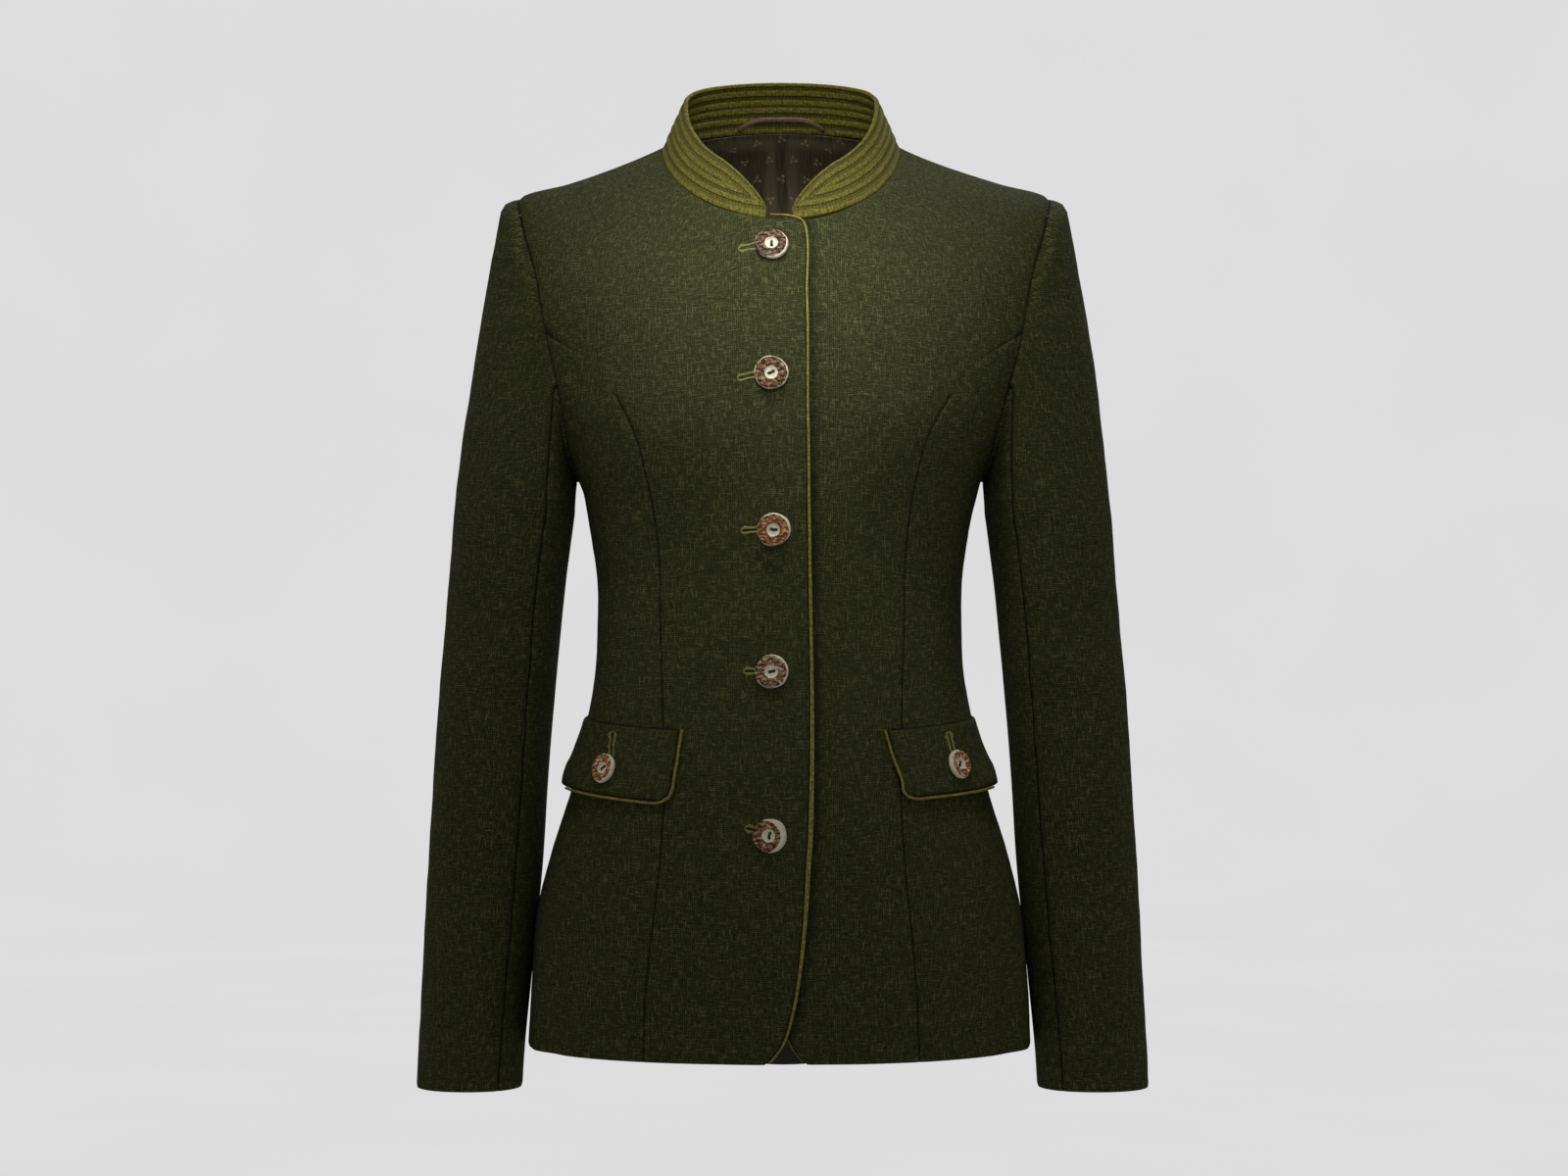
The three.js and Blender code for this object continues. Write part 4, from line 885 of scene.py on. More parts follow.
# ---- Collar ----
@dataclass
class Collar:
    """The quilted stand collar, from its right front end round the neck to its left front end.

    full is its height past its ends, which rise over taper. lean and back_lean are how far it leans in,
    lift is where its foot starts, raised how far it stands above the seam, bow how far its middle stands
    out, and quilting holds the edges of the padded rows, counted from its outline.
    """

    full: float = 34.5
    thick: float = 2.6
    lean: float = 0.5
    back_lean: float = 0.2
    taper: float = 48.0
    lift: float = -1.4
    raised: float = 1.3
    bow: float = 0.5
    quilting: tuple[float, ...] = (0.0, 4.0, 11.0, 18.0)
    columns: int = 300
    rows: int = 46

    def __post_init__(self) -> None:
        """Lays the collar's foot round the neck and works out its lean and height."""
        start = SURFACE.locate(NECK_END[-1], BODY[0][3])[0]
        end = SURFACE.locate(NECK_END[1], BODY[0][3])[0]
        along = np.linspace(start, end - 4, 361)
        along = np.where(along < -2, along + 4, along)
        foot = SURFACE.point(np.stack([along, 0 * along], axis=1))
        foot[0, 0], foot[-1, 0] = NECK_END[-1], NECK_END[1]
        self.foot = resampled(foot, self.columns)
        run = running(self.foot)
        from_end = np.minimum(run, run[-1] - run)
        taper = 1 - (1 - np.clip((from_end + 1.2) / self.taper, 0, 1)) ** 2
        self.height = self.full * taper ** 0.62
        ahead = unit(np.gradient(self.foot, axis=0))
        out = unit(np.stack([ahead[:, 1], -ahead[:, 0], 0 * run], axis=1))
        out *= np.where((out * self.foot * [1, 1, 0]).sum(axis=1) < 0, -1, 1)[:, None]
        lean = mix(self.lean, self.back_lean, smooth(10, 60, self.foot[:, 1]))
        self.up = unit(np.array([0, 0, 1.0]) - out * lean[:, None])
        face = unit(np.cross(ahead, self.up))
        self.face = face * np.where((face * out).sum(axis=1) < 0, -1, 1)[:, None]
        self.run = run

    def make(self, piece: Piece) -> Piece:
        """Makes the collar's wall, quilted on both faces."""
        share = np.linspace(0, 1, self.rows)[:, None]
        high = share * self.height[None]
        depth = np.minimum(high, self.height[None] - high)
        puff = np.zeros(depth.shape)
        for low, top in zip(self.quilting, self.quilting[1:]):
            here = (depth >= low) & (depth <= top)
            f = np.clip((depth - low) / (top - low), 0, 1)
            puff = np.where(here, (0.95 if low else 0.6) * np.sin(math.pi * f) ** 0.7, puff)
        puff += 0.1 * ripple(np.stack([self.run[None] + 0 * high, high, 0 * high], axis=-1), 9, 21)
        fade = smooth(0, 12, self.height)[None]
        bow = self.bow * np.sin(math.pi * share) * (self.height / self.full)[None]
        lifted = mix(self.lift, high + self.raised, smooth(0, 0.1, share))
        middle = self.foot[None] + self.up[None] * lifted[..., None]
        round_off = bell(np.minimum(depth, 3), 0.9)
        walls = []
        for way in (1, -1):
            off = way * (self.thick / 2 * (1 - 0.45 * round_off) + (puff - 0.15) * fade) + bow
            walls.append(middle + self.face[None] * off[..., None])
        points = hang(np.concatenate([w.reshape(-1, 3) for w in walls]))
        piece.make(points, shell_faces(self.rows, self.columns + 1))
        flat = np.stack([self.run[None] + 0 * high, high], axis=-1)
        piece.unfold(np.tile(flat.reshape(-1, 2), (2, 1)))
        piece.measure("quilt", np.tile(depth.ravel(), 2) * MM)
        piece.measure("seam", np.tile(high.ravel(), 2) * MM)
        piece.measure("edge", np.full(2 * high.size, 0.5))
        piece.measure("inside", np.repeat([0.0, 1.0], high.size))
        return piece


# ---- Tubes: piping, loop, threads ----
@dataclass
class Tube:
    """A closed tube of oval section along a line of points.

    wide and thick are its size across and along normals; ends are closed, or joined where loop is set.
    """

    points: np.ndarray
    normals: np.ndarray
    wide: np.ndarray | float
    thick: np.ndarray | float
    sides: int = 12
    loop: bool = False

    def mesh(self) -> tuple[np.ndarray, list, np.ndarray]:
        """Returns its points, faces and flat places."""
        n = len(self.points)
        if self.loop:
            ahead = np.roll(self.points, -1, axis=0) - np.roll(self.points, 1, axis=0)
        else:
            ahead = np.gradient(self.points, axis=0)
        across = unit(np.cross(unit(ahead), self.normals))
        normal = unit(np.cross(across, unit(ahead)))
        normal *= np.where((normal * self.normals).sum(axis=1) < 0, -1, 1)[:, None]
        angle = 2 * math.pi * (np.arange(self.sides) + 0.5) / self.sides
        wide = np.broadcast_to(np.asarray(self.wide, float).reshape(-1, 1, 1), (n, 1, 1))
        thick = np.broadcast_to(np.asarray(self.thick, float).reshape(-1, 1, 1), (n, 1, 1))
        ring = (across[:, None] * wide * np.cos(angle)[None, :, None]
                + normal[:, None] * thick * np.sin(angle)[None, :, None]) / 2
        points = (self.points[:, None] + ring).reshape(-1, 3)
        faces = []
        for j in range(n if self.loop else n - 1):
            here, there = j * self.sides, ((j + 1) % n) * self.sides
            faces += [[here + k, here + (k + 1) % self.sides, there + (k + 1) % self.sides, there + k]
                      for k in range(self.sides)]
        if not self.loop:
            faces += [list(range(self.sides))[::-1], list(range((n - 1) * self.sides, n * self.sides))]
        run = np.repeat(running(self.points), self.sides)
        flat = np.stack([np.tile(angle, n) * np.repeat(wide.ravel(), self.sides) / 2, run], axis=1)
        return points, faces, flat

    def make(self, piece: Piece) -> Piece:
        """Makes the tube as a piece."""
        points, faces, flat = self.mesh()
        piece.make(hang(points), faces).unfold(flat)
        for name in ("seam", "edge"):
            piece.measure(name, np.full(len(points), 0.5))
        piece.measure("inside", np.zeros(len(points)))
        return piece


def joined(tubes: Sequence[Tube]) -> tuple[np.ndarray, list, np.ndarray]:
    """Several tubes as one mesh."""
    points, faces, flats, start = [], [], [], 0
    for tube in tubes:
        p, f, flat = tube.mesh()
        points.append(p)
        flats.append(flat)
        faces += [[start + i for i in face] for face in f]
        start += len(p)
    return np.vstack(points), faces, np.vstack(flats)


def front_piping(seams: Seams) -> Tube:
    """The piping along one front's outer edge, wider towards the flaps and narrow at the hem.

    Args:
        seams: The seams of that side.

    Returns:
        The piping's tube.
    """
    side = seams.side
    sign = side.value
    edge = [np.append(seams.edge_place(row), row[2]) for row in FRONT_EDGE]
    knots = list(edge)
    if side is Side.RIGHT:
        first = SURFACE.locate(NECK_END[sign] + 2.5, BODY[0][3])[0]
        u, _, wide = edge[0]
        knots = [np.array([first, 0, wide * 0.8]), np.array([mix(first, u, 0.5), 0, wide]), *edge]
    run = spread([[u * 100, t * 8, wide] for u, t, wide in knots], 260)[:-PIPING_SHORT]
    if side is Side.LEFT:
        run[:, 2] *= np.linspace(1, 0.15, len(run)) ** 0.5
    place = np.stack([run[:, 0] / 100, np.maximum(run[:, 1] / 8, 0)], axis=1)
    points, normals = SURFACE.point(place), SURFACE.normal(place)
    relief = SURFACE.relief(place, points)
    points = points + normals * (lap_rise(points[:, 0], side) + relief)[:, None]
    across = unit(np.cross(np.gradient(points, axis=0), normals)) * sign
    points = points + across * (run[:, 2] / 2 + SEAM_GAP * 0.5)[:, None]
    return Tube(points, normals, run[:, 2], 2.5 if side is Side.RIGHT else 1.8)


@dataclass
class HangerLoop:
    """The hanger loop inside the neck, before the back of the collar.

    half is half its length, low the height of its ends, rise how far its middle stands above them, tall
    and thick the tape's own size, and feet and middle how far its ends and its middle stand off.
    """

    collar_thick: float
    half: float = 31.0
    low: float = 17.5
    rise: float = 8.0
    tall: float = 3.2
    thick: float = 1.3
    feet: float = 1.35
    middle: float = 8.6

    def tube(self) -> Tube:
        """The loop as a tube, from the wearer's right end to the left one."""
        f = np.linspace(-1, 1, 61)
        high = 1 - np.abs(f) ** 3.2
        x = self.half * f * (1 + 0.03 * (1 - f * f))
        inside = BODY[0][6] - (x / BODY[0][1]) ** 2 * 26
        y = inside - self.collar_thick / 2 - mix(self.feet, self.middle, high)
        points = np.stack([x, y, self.low + self.rise * high], axis=1)
        ahead = unit(np.gradient(points, axis=0))
        normals = unit(np.array([0, -1.0, 0]) + ahead * ahead[:, 1:2])
        return Tube(points, normals, self.tall, self.thick, 14)


# ---- Flaps ----
@dataclass
class Flap:
    """A hip flap: a grid of places from its front edge to the side, and from its top down.

    seat is its gap from the front, flare and side_flare how far its lower corners stand off, front_top
    the place of its front corner, side_heights those of its side, corner how round its lower corners
    are, wide and row_height its plain size, and piping_short how far from its widest place its piping
    stops.
    """

    side: Side
    thick: float = 2.0
    seat: float = 0.35
    flare: float = 1.6
    side_flare: float = 7.5
    piping_wide: float = 1.9
    front_top: tuple[float, float] = (71, -413.5)
    side_heights: tuple[float, float] = (-406, -455)
    corner: float = 9.0
    wide: float = 96.0
    row_height: float = 42.0
    piping_short: float = 4.5
    columns: int = 60
    rows: int = 34

    def __post_init__(self) -> None:
        """Works out the grid of points, moved out from the body."""
        sign = self.side.value
        a = crowded(self.columns)[None, :]
        b = crowded(self.rows)[:, None]
        top = SURFACE.locate(sign * self.front_top[0], self.front_top[1])
        low = SURFACE.locate(sign * FLAP_FRONT_LOW[sign][0], FLAP_FRONT_LOW[sign][1])
        rows = np.linspace(0, HEM_ROW, 721)
        heights = cubic(BODY[:, :1], rows)[:, 0]
        side_rows = [float(np.interp(-z, -heights, rows)) for z in self.side_heights]
        front_u, front_t = mix(top[0], low[0], b), mix(top[1], low[1], b)
        lift = b * (self._corner(a * self.wide) + self._corner((1 - a) * self.wide)) / self.row_height
        u = mix(front_u, sign * 0.995, a)
        t = mix(front_t, mix(*side_rows, b), a) - lift
        self.place = np.stack([u + 0 * t, t], axis=-1)
        flare = b ** 1.5 * mix(self.flare, self.side_flare, a ** 1.4)
        points, normals = SURFACE.point(self.place), SURFACE.normal(self.place)
        folds = SURFACE.relief(self.place, points)
        wave = 0.35 * ripple(points, 26, 31 + sign) * smooth(0, 0.5, b)
        sunk = 1.0 * (1 - smooth(0, 0.08, b))
        up = CLOTH / 2 + self.seat + flare + folds + wave + self.thick / 2 - sunk
        self.points = points + normals * up[..., None]
        across, down = np.gradient(self.points, axis=1), np.gradient(self.points, axis=0)
        self.normals = -sign * unit(np.cross(across, down))

    def _corner(self, off: Number) -> Number:
        """How far a rounded lower corner lies above a square one, at a distance from its side."""
        inside = np.clip(self.corner - off, 0, self.corner)
        return self.corner - np.sqrt(self.corner ** 2 - inside ** 2)

    def cloth(self) -> Cloth:
        """The flap's cloth."""
        rims = (Rim.SEWN, Rim.FREE, Rim.SEWN, Rim.SEWN)
        return Cloth(self.points.copy(), self.normals, rims, self.thick, 0.0, shadow=2.0)

    def piping(self) -> Tube:
        """The piping down its front edge and along its lower edge."""
        middle = np.vstack([self.points[:, 0], self.points[-1, 1:]])
        normals = np.vstack([self.normals[:, 0], self.normals[-1, 1:]])
        line = resampled(np.hstack([middle, normals]), 150)
        for _ in range(10):
            line[1:-1] = (line[:-2] + 2 * line[1:-1] + line[2:]) / 4
        away = np.abs(line[:, 0])
        line = line[:int(np.argmax(away > away.max() - self.piping_short))]
        points, normals = line[:, :3], unit(line[:, 3:])
        across = unit(np.cross(np.gradient(points, axis=0), normals)) * self.side.value
        points = points + across * (self.piping_wide / 2 + SEAM_GAP * 0.5)
        return Tube(points, normals, self.piping_wide, self.thick + 0.3)

    def near(self, x: float, z: float) -> tuple[np.ndarray, np.ndarray]:
        """Finds a point of its outer face.

        Args:
            x: How far to the wearer's left it is.
            z: Its height.

        Returns:
            The point, and the direction out of the face.
        """
        off = np.hypot(self.points[..., 0] - x, self.points[..., 2] - z)
        j, i = np.unravel_index(np.argmin(off), off.shape)
        normal = self.normals[j, i]
        point = self.points[j, i] + normal * self.thick / 2
        step = np.array([x - point[0], 0.0, z - point[2]])
        return point + step - normal * (step @ normal), normal


# ---- Materials ----
Input = Union[bpy.types.NodeSocket, float, tuple]
Socket = bpy.types.NodeSocket


def shade(red: float, green: float, blue: float) -> tuple[float, float, float, float]:
    """A colour as seen on a screen, from 0 to 255, in the renderer's own scale."""
    def linear(v: float) -> float:
        """One part of the colour."""
        v /= 255
        return v / 12.92 if v <= 0.04045 else ((v + 0.055) / 1.055) ** 2.4

    return linear(red), linear(green), linear(blue), 1.0


class Graph:
    """Short calls for building one node tree."""

    def __init__(self, tree: bpy.types.NodeTree) -> None:
        """Starts on an empty tree."""
        self.tree = tree

    def _fill(self, made: bpy.types.Node, inputs: dict | None) -> bpy.types.Node:
        """Links or sets a node's inputs, by name or number."""
        for key, value in (inputs or {}).items():
            if isinstance(value, bpy.types.NodeSocket):
                self.tree.links.new(value, made.inputs[key])
            else:
                made.inputs[key].default_value = value
        return made

    def node(self, kind: str, inputs: dict | None = None, **settings) -> bpy.types.Node:
        """Adds a node, sets what is set and links what is linked.

        Args:
            kind: The node's type, without its ShaderNode prefix.
            inputs: Values or sockets for its inputs, by name or number.
            **settings: The node's own properties.

        Returns:
            The node.
        """
        made = self.tree.nodes.new("ShaderNode" + kind)
        for key, value in settings.items():
            setattr(made, key, value)
        return self._fill(made, inputs)

    def group(self, tree: bpy.types.NodeTree, inputs: dict) -> bpy.types.Node:
        """Adds a shared node group with its own inputs."""
        made = self.tree.nodes.new("ShaderNodeGroup")
        made.node_tree = tree
        return self._fill(made, inputs)

    def math(self, operation: str, *values: Input, clamp: bool = False) -> Socket:
        """The result of one operation on values."""
        return self.node("Math", dict(enumerate(values)), operation=operation, use_clamp=clamp).outputs[0]

    def total(self, *parts: tuple[Input, float]) -> Socket:
        """The sum of values, each times its weight."""
        weighted = [self.math("MULTIPLY", value, weight) for value, weight in parts]
        found = weighted[0]
        for value in weighted[1:]:
            found = self.math("ADD", found, value)
        return found

    def scaled(self, vector: Socket, x: float, y: float, z: float = 1.0) -> Socket:
        """A vector with its parts multiplied."""
        return self.node("VectorMath", {0: vector, 1: (x, y, z)}, operation="MULTIPLY").outputs[0]

    def noise(self, vector: Socket, scale: float, detail: float = 2.0, roughness: float = 0.55) -> Socket:
        """Noise from about 0.3 to 0.7."""
        inputs = {"Vector": vector, "Scale": scale, "Detail": detail, "Roughness": roughness}
        return self.node("TexNoise", inputs).outputs["Fac"]

    def ramp(self, value: Socket, stops: Sequence[tuple[float, tuple]]) -> Socket:
        """Colours by value, from stops of a place and a colour."""
        made = self.node("ValToRGB", {0: value})
        band = made.color_ramp
        band.elements[0].position, band.elements[0].color = stops[0]
        band.elements[1].position, band.elements[1].color = stops[-1]
        for place, colour in stops[1:-1]:
            band.elements.new(place).color = colour
        return made.outputs[0]

    def blend(self, factor: Input, first: Input, second: Input, kind: str = "MIX") -> Socket:
        """Mixes two colours."""
        made = self.node("Mix", {0: factor, 6: first, 7: second}, data_type="RGBA", blend_type=kind)
        return made.outputs[2]

    def times(self, colour: Socket, factor: Socket) -> Socket:
        """A colour with all its parts multiplied by one factor."""
        grey = self.node("CombineColor", {0: factor, 1: factor, 2: factor}).outputs[0]
        return self.blend(1.0, colour, grey, "MULTIPLY")

    def step(self, value: Socket, low: float, high: float, to_low: float = 0.0,
             to_high: float = 1.0) -> Socket:
        """Eases between two results as the value goes from low to high."""
        inputs = {0: value, 1: low, 2: high, 3: to_low, 4: to_high}
        return self.node("MapRange", inputs, interpolation_type="SMOOTHSTEP").outputs[0]

    def reading(self, name: str) -> Socket:
        """A number that the piece's vertices carry."""
        return self.node("Attribute", attribute_name=name).outputs["Fac"]

    def cut_place(self) -> Socket:
        """The place in the cut cloth, in metres."""
        return self.node("UVMap", uv_map="UVMap").outputs[0]

    def bump(self, height: Socket, distance: float, strength: float = 1.0,
             normal: Socket | None = None) -> Socket:
        """A surface direction from a height, in metres, on top of another one where it is given."""
        inputs = {"Height": height, "Distance": distance, "Strength": strength}
        if normal is not None:
            inputs["Normal"] = normal
        return self.node("Bump", inputs).outputs[0]

    def surface(self, inputs: dict) -> None:
        """Ends the tree in a principled surface."""
        made = self.node("BsdfPrincipled", inputs)
        self.node("OutputMaterial", {"Surface": made.outputs[0]})


def new_material(name: str) -> tuple[bpy.types.Material, Graph]:
    """Starts a material and returns it with its empty graph."""
    material = bpy.data.materials.new(name)
    material.use_nodes = True
    material.node_tree.nodes.clear()
    return material, Graph(material.node_tree)


def new_group(name: str, numbers: dict, outputs: Sequence[str], vector: bool = False) -> tuple:
    """Starts a shared node group.

    Args:
        name: The group's name.
        numbers: Its number inputs and their default values.
        outputs: The names of its outputs, all of them numbers.
        vector: Whether a Vector input comes before them.

    Returns:
        Its tree, its graph, its input node and its output node.
    """
    tree = bpy.data.node_groups.new(name, "ShaderNodeTree")
    if vector:
        tree.interface.new_socket("Vector", in_out="INPUT", socket_type="NodeSocketVector")
    for label, value in numbers.items():
        socket = tree.interface.new_socket(label, in_out="INPUT", socket_type="NodeSocketFloat")
        socket.default_value = value
    for label in outputs:
        tree.interface.new_socket(label, in_out="OUTPUT", socket_type="NodeSocketFloat")
    return tree, Graph(tree), tree.nodes.new("NodeGroupInput"), tree.nodes.new("NodeGroupOutput")


def weave_group() -> bpy.types.NodeTree:
    """Crossing threads of uneven thickness and tone.

    Returns:
        The group: Height is the cloth's fine relief and Tone the tone of the thread on top.
    """
    numbers = {"Threads": 1500, "Uneven": 0.6}
    tree, g, given, result = new_group("Woven threads", numbers, ["Height", "Tone"], vector=True)
    place = g.node("VectorMath", {0: given.outputs["Vector"], "Scale": given.outputs["Threads"]},
                   operation="SCALE").outputs[0]
    warp = g.noise(g.scaled(place, 0.9, 0.15), 1.0, 1.0)
    weft = g.noise(g.scaled(place, 0.15, 0.9), 1.15, 1.0)
    parts = g.node("SeparateXYZ", {0: place})
    shift_u = g.math("MULTIPLY", g.math("SUBTRACT", weft, 0.5), given.outputs["Uneven"])
    shift_v = g.math("MULTIPLY", g.math("SUBTRACT", warp, 0.5), given.outputs["Uneven"])
    wave_u = g.math("SINE", g.math("MULTIPLY", g.math("ADD", parts.outputs[0], shift_u), math.pi))
    wave_v = g.math("SINE", g.math("MULTIPLY", g.math("ADD", parts.outputs[1], shift_v), math.pi))
    crossing = g.math("MULTIPLY", wave_u, wave_v)
    over = g.step(crossing, -0.25, 0.25)
    under = g.math("SUBTRACT", 1.0, over)
    tone = g.math("ADD", g.math("MULTIPLY", warp, over), g.math("MULTIPLY", weft, under))
    for wave, streak in ((wave_u, weft), (wave_v, warp)):
        line = g.step(g.math("ABSOLUTE", wave), 0.75, 0.1)
        tone = g.math("SUBTRACT", tone, g.math("MULTIPLY", line, g.step(streak, 0.4, 0.62, 0.02, 0.16)))
    slub = g.math("MAXIMUM", g.step(warp, 0.56, 0.72), g.step(weft, 0.56, 0.72))
    height = g.math("ADD", g.math("POWER", g.math("ABSOLUTE", crossing), 0.6), g.math("MULTIPLY", slub, 0.7))
    for label, value in (("Height", height), ("Tone", tone)):
        g.tree.links.new(value, result.inputs[label])
    return tree


def stitch_group() -> bpy.types.NodeTree:
    """A line of stitches.

    Returns:
        The group: Mask is 1 on the thread and Pull is 1 along the line that it draws in.
    """
    numbers = {"Distance": 0, "Run": 0, "Pitch": 0.0026, "Thread": 0.0003, "Reach": 0.0009}
    tree, g, given, result = new_group("Stitch line", numbers, ["Mask", "Pull"])
    off = g.math("ABSOLUTE", given.outputs["Distance"])
    near = g.math("SUBTRACT", 1.0, g.math("DIVIDE", off, given.outputs["Thread"]), clamp=True)
    part = g.math("FRACT", g.math("DIVIDE", given.outputs["Run"], given.outputs["Pitch"]))
    dash = g.math("MULTIPLY", g.step(part, 0.02, 0.12), g.step(part, 0.82, 0.7))
    g.tree.links.new(g.math("MULTIPLY", g.step(near, 0.0, 0.35), dash), result.inputs["Mask"])
    pull = g.math("SUBTRACT", 1.0, g.math("DIVIDE", off, given.outputs["Reach"]), clamp=True)
    g.tree.links.new(pull, result.inputs["Pull"])
    return tree


@dataclass(frozen=True)
class Linen:
    """Olive linen: uneven threads of several tones, with painted shade along the seams and beside the upper
    front's edge, paler on pressed edges.
    """

    weave: bpy.types.NodeTree
    threads: float = 1450.0
    coarse_threads: float = 760.0
    seam_reach: float = 0.0013
    seam_depth: float = 0.25
    lap_depth: float = 0.6

    def material(self) -> bpy.types.Material:
        """Makes the material."""
        material, g = new_material("Olive linen")
        flat = g.cut_place()
        woven = g.group(self.weave, {"Vector": flat, "Threads": self.threads, "Uneven": 0.7})
        coarse = g.group(self.weave, {"Vector": flat, "Threads": self.coarse_threads, "Uneven": 0.4})
        fleck = g.noise(flat, 900.0, 1.0, 0.5)
        patch = g.noise(flat, 30.0, 3.0)
        tone = g.total((woven.outputs["Tone"], 0.48), (coarse.outputs["Tone"], 0.26), (fleck, 0.08),
                       (patch, 0.03), (coarse.outputs["Height"], 0.1))
        colour = g.ramp(g.math("ADD", tone, 0.03), [
            (0.34, shade(14, 17, 7)), (0.41, shade(40, 44, 21)), (0.48, shade(60, 64, 35)),
            (0.55, shade(83, 86, 50)), (0.64, shade(122, 122, 77)),
        ])
        seam, edge = g.reading("seam"), g.reading("edge")
        worn = g.math("MULTIPLY", g.step(edge, 0.0, 0.002, 0.22, 0.0), fleck)
        colour = g.blend(worn, colour, shade(110, 106, 74))
        # Painted shadow: the upper front's edge darkens a strip of the lower front beside it.
        lap_shadow = g.math("SUBTRACT", 1.0, g.math("MULTIPLY", g.reading("lap"), self.lap_depth))
        shadow = g.step(seam, 0.0, self.seam_reach, self.seam_depth, 1.0)
        colour = g.times(colour, g.math("MULTIPLY", shadow, lap_shadow))
        pressed = g.bump(g.step(seam, 0.0065, 0.0085, 1.0, 0.0), 0.00012, 0.5)
        soft = g.bump(g.noise(flat, 95.0, 3.0), 0.0006, 0.15, pressed)
        fine = g.bump(woven.outputs["Height"], 0.00036, 0.8, soft)
        g.surface({"Base Color": colour, "Roughness": 0.86, "Specular IOR Level": 0.12, "Sheen Weight": 0.03,
                   "Sheen Roughness": 0.6, "Sheen Tint": shade(150, 150, 90), "Normal": fine})
        return material


@dataclass(frozen=True)
class CollarCloth:
    """Olive twill; quilted with double rows of stitches along the outline where stitch is given.

    lighter is how much lighter it is than plain olive, and bluer the same for its blue alone.
    """

    name: str
    weave: bpy.types.NodeTree
    stitch: bpy.types.NodeTree | None
    lighter: float
    bluer: float
    row_pitch: float = 0.0075
    row_half: float = 0.0009

    def material(self) -> bpy.types.Material:
        """Makes the material."""
        material, g = new_material(self.name)
        flat = g.cut_place()
        woven = g.group(self.weave, {"Vector": flat, "Threads": 1700.0, "Uneven": 0.5})
        fleck = g.noise(flat, 480.0, 2.0)
        tone = g.total((woven.outputs["Tone"], 0.5), (fleck, 0.5))
        stops = [(0.36, (68, 65, 18)), (0.45, (101, 97, 32)), (0.53, (125, 119, 42)), (0.62, (156, 149, 60))]
        colour = g.ramp(tone, [(at, shade(red * self.lighter, green * self.lighter, blue * self.bluer))
                               for at, (red, green, blue) in stops])
        height = g.math("MULTIPLY", woven.outputs["Height"], 0.22)
        if self.stitch is not None:
            colour, height = self._quilted(g, flat, colour, height)
        g.surface({"Base Color": colour, "Roughness": 0.8, "Specular IOR Level": 0.3, "Sheen Weight": 0.12,
                   "Sheen Roughness": 0.5, "Sheen Tint": shade(190, 180, 110),
                   "Normal": g.bump(height, 0.0009, 0.95)})
        return material

    def _quilted(self, g: Graph, flat: Socket, colour: Socket, height: Socket) -> tuple[Socket, Socket]:
        """Adds the rows of stitches, each drawn in, with painted shade along the ditch that each draws, the
        puckers between them, and painted light on the collar's inner face.

        Args:
            g: The material's graph.
            flat: The place in the cut cloth.
            colour: The plain cloth's colour.
            height: The plain cloth's height.

        Returns:
            The colour and the height.
        """
        # Painted light: the inner face is lightened to make up for the shade inside the collar.
        colour = g.times(colour, g.math("ADD", 1.0, g.math("MULTIPLY", g.reading("inside"), 0.55)))
        wrapped = g.math("WRAP", g.reading("quilt"), self.row_pitch, 0.0005)
        off = g.math("SUBTRACT", g.math("ABSOLUTE", g.math("SUBTRACT", wrapped, 0.004)), self.row_half)
        run = g.node("SeparateXYZ", {0: flat}).outputs[0]
        sewn = g.group(self.stitch, {"Distance": off, "Run": run})
        pull = g.math("POWER", sewn.outputs["Pull"], 0.7)
        # Painted shade: darker along the ditch that each row draws in.
        colour = g.blend(g.math("MULTIPLY", pull, 0.9), colour, shade(26, 25, 7))
        colour = g.blend(g.math("MULTIPLY", sewn.outputs["Mask"], 0.8), colour, shade(140, 134, 70))
        pucker = g.noise(g.scaled(flat, 420.0, 60.0), 1.0, 1.0)
        raised = g.math("SUBTRACT", 1.0, pull)
        return colour, g.total((height, 1.0), (raised, 1.0), (sewn.outputs["Mask"], 0.8), (pucker, 0.5))


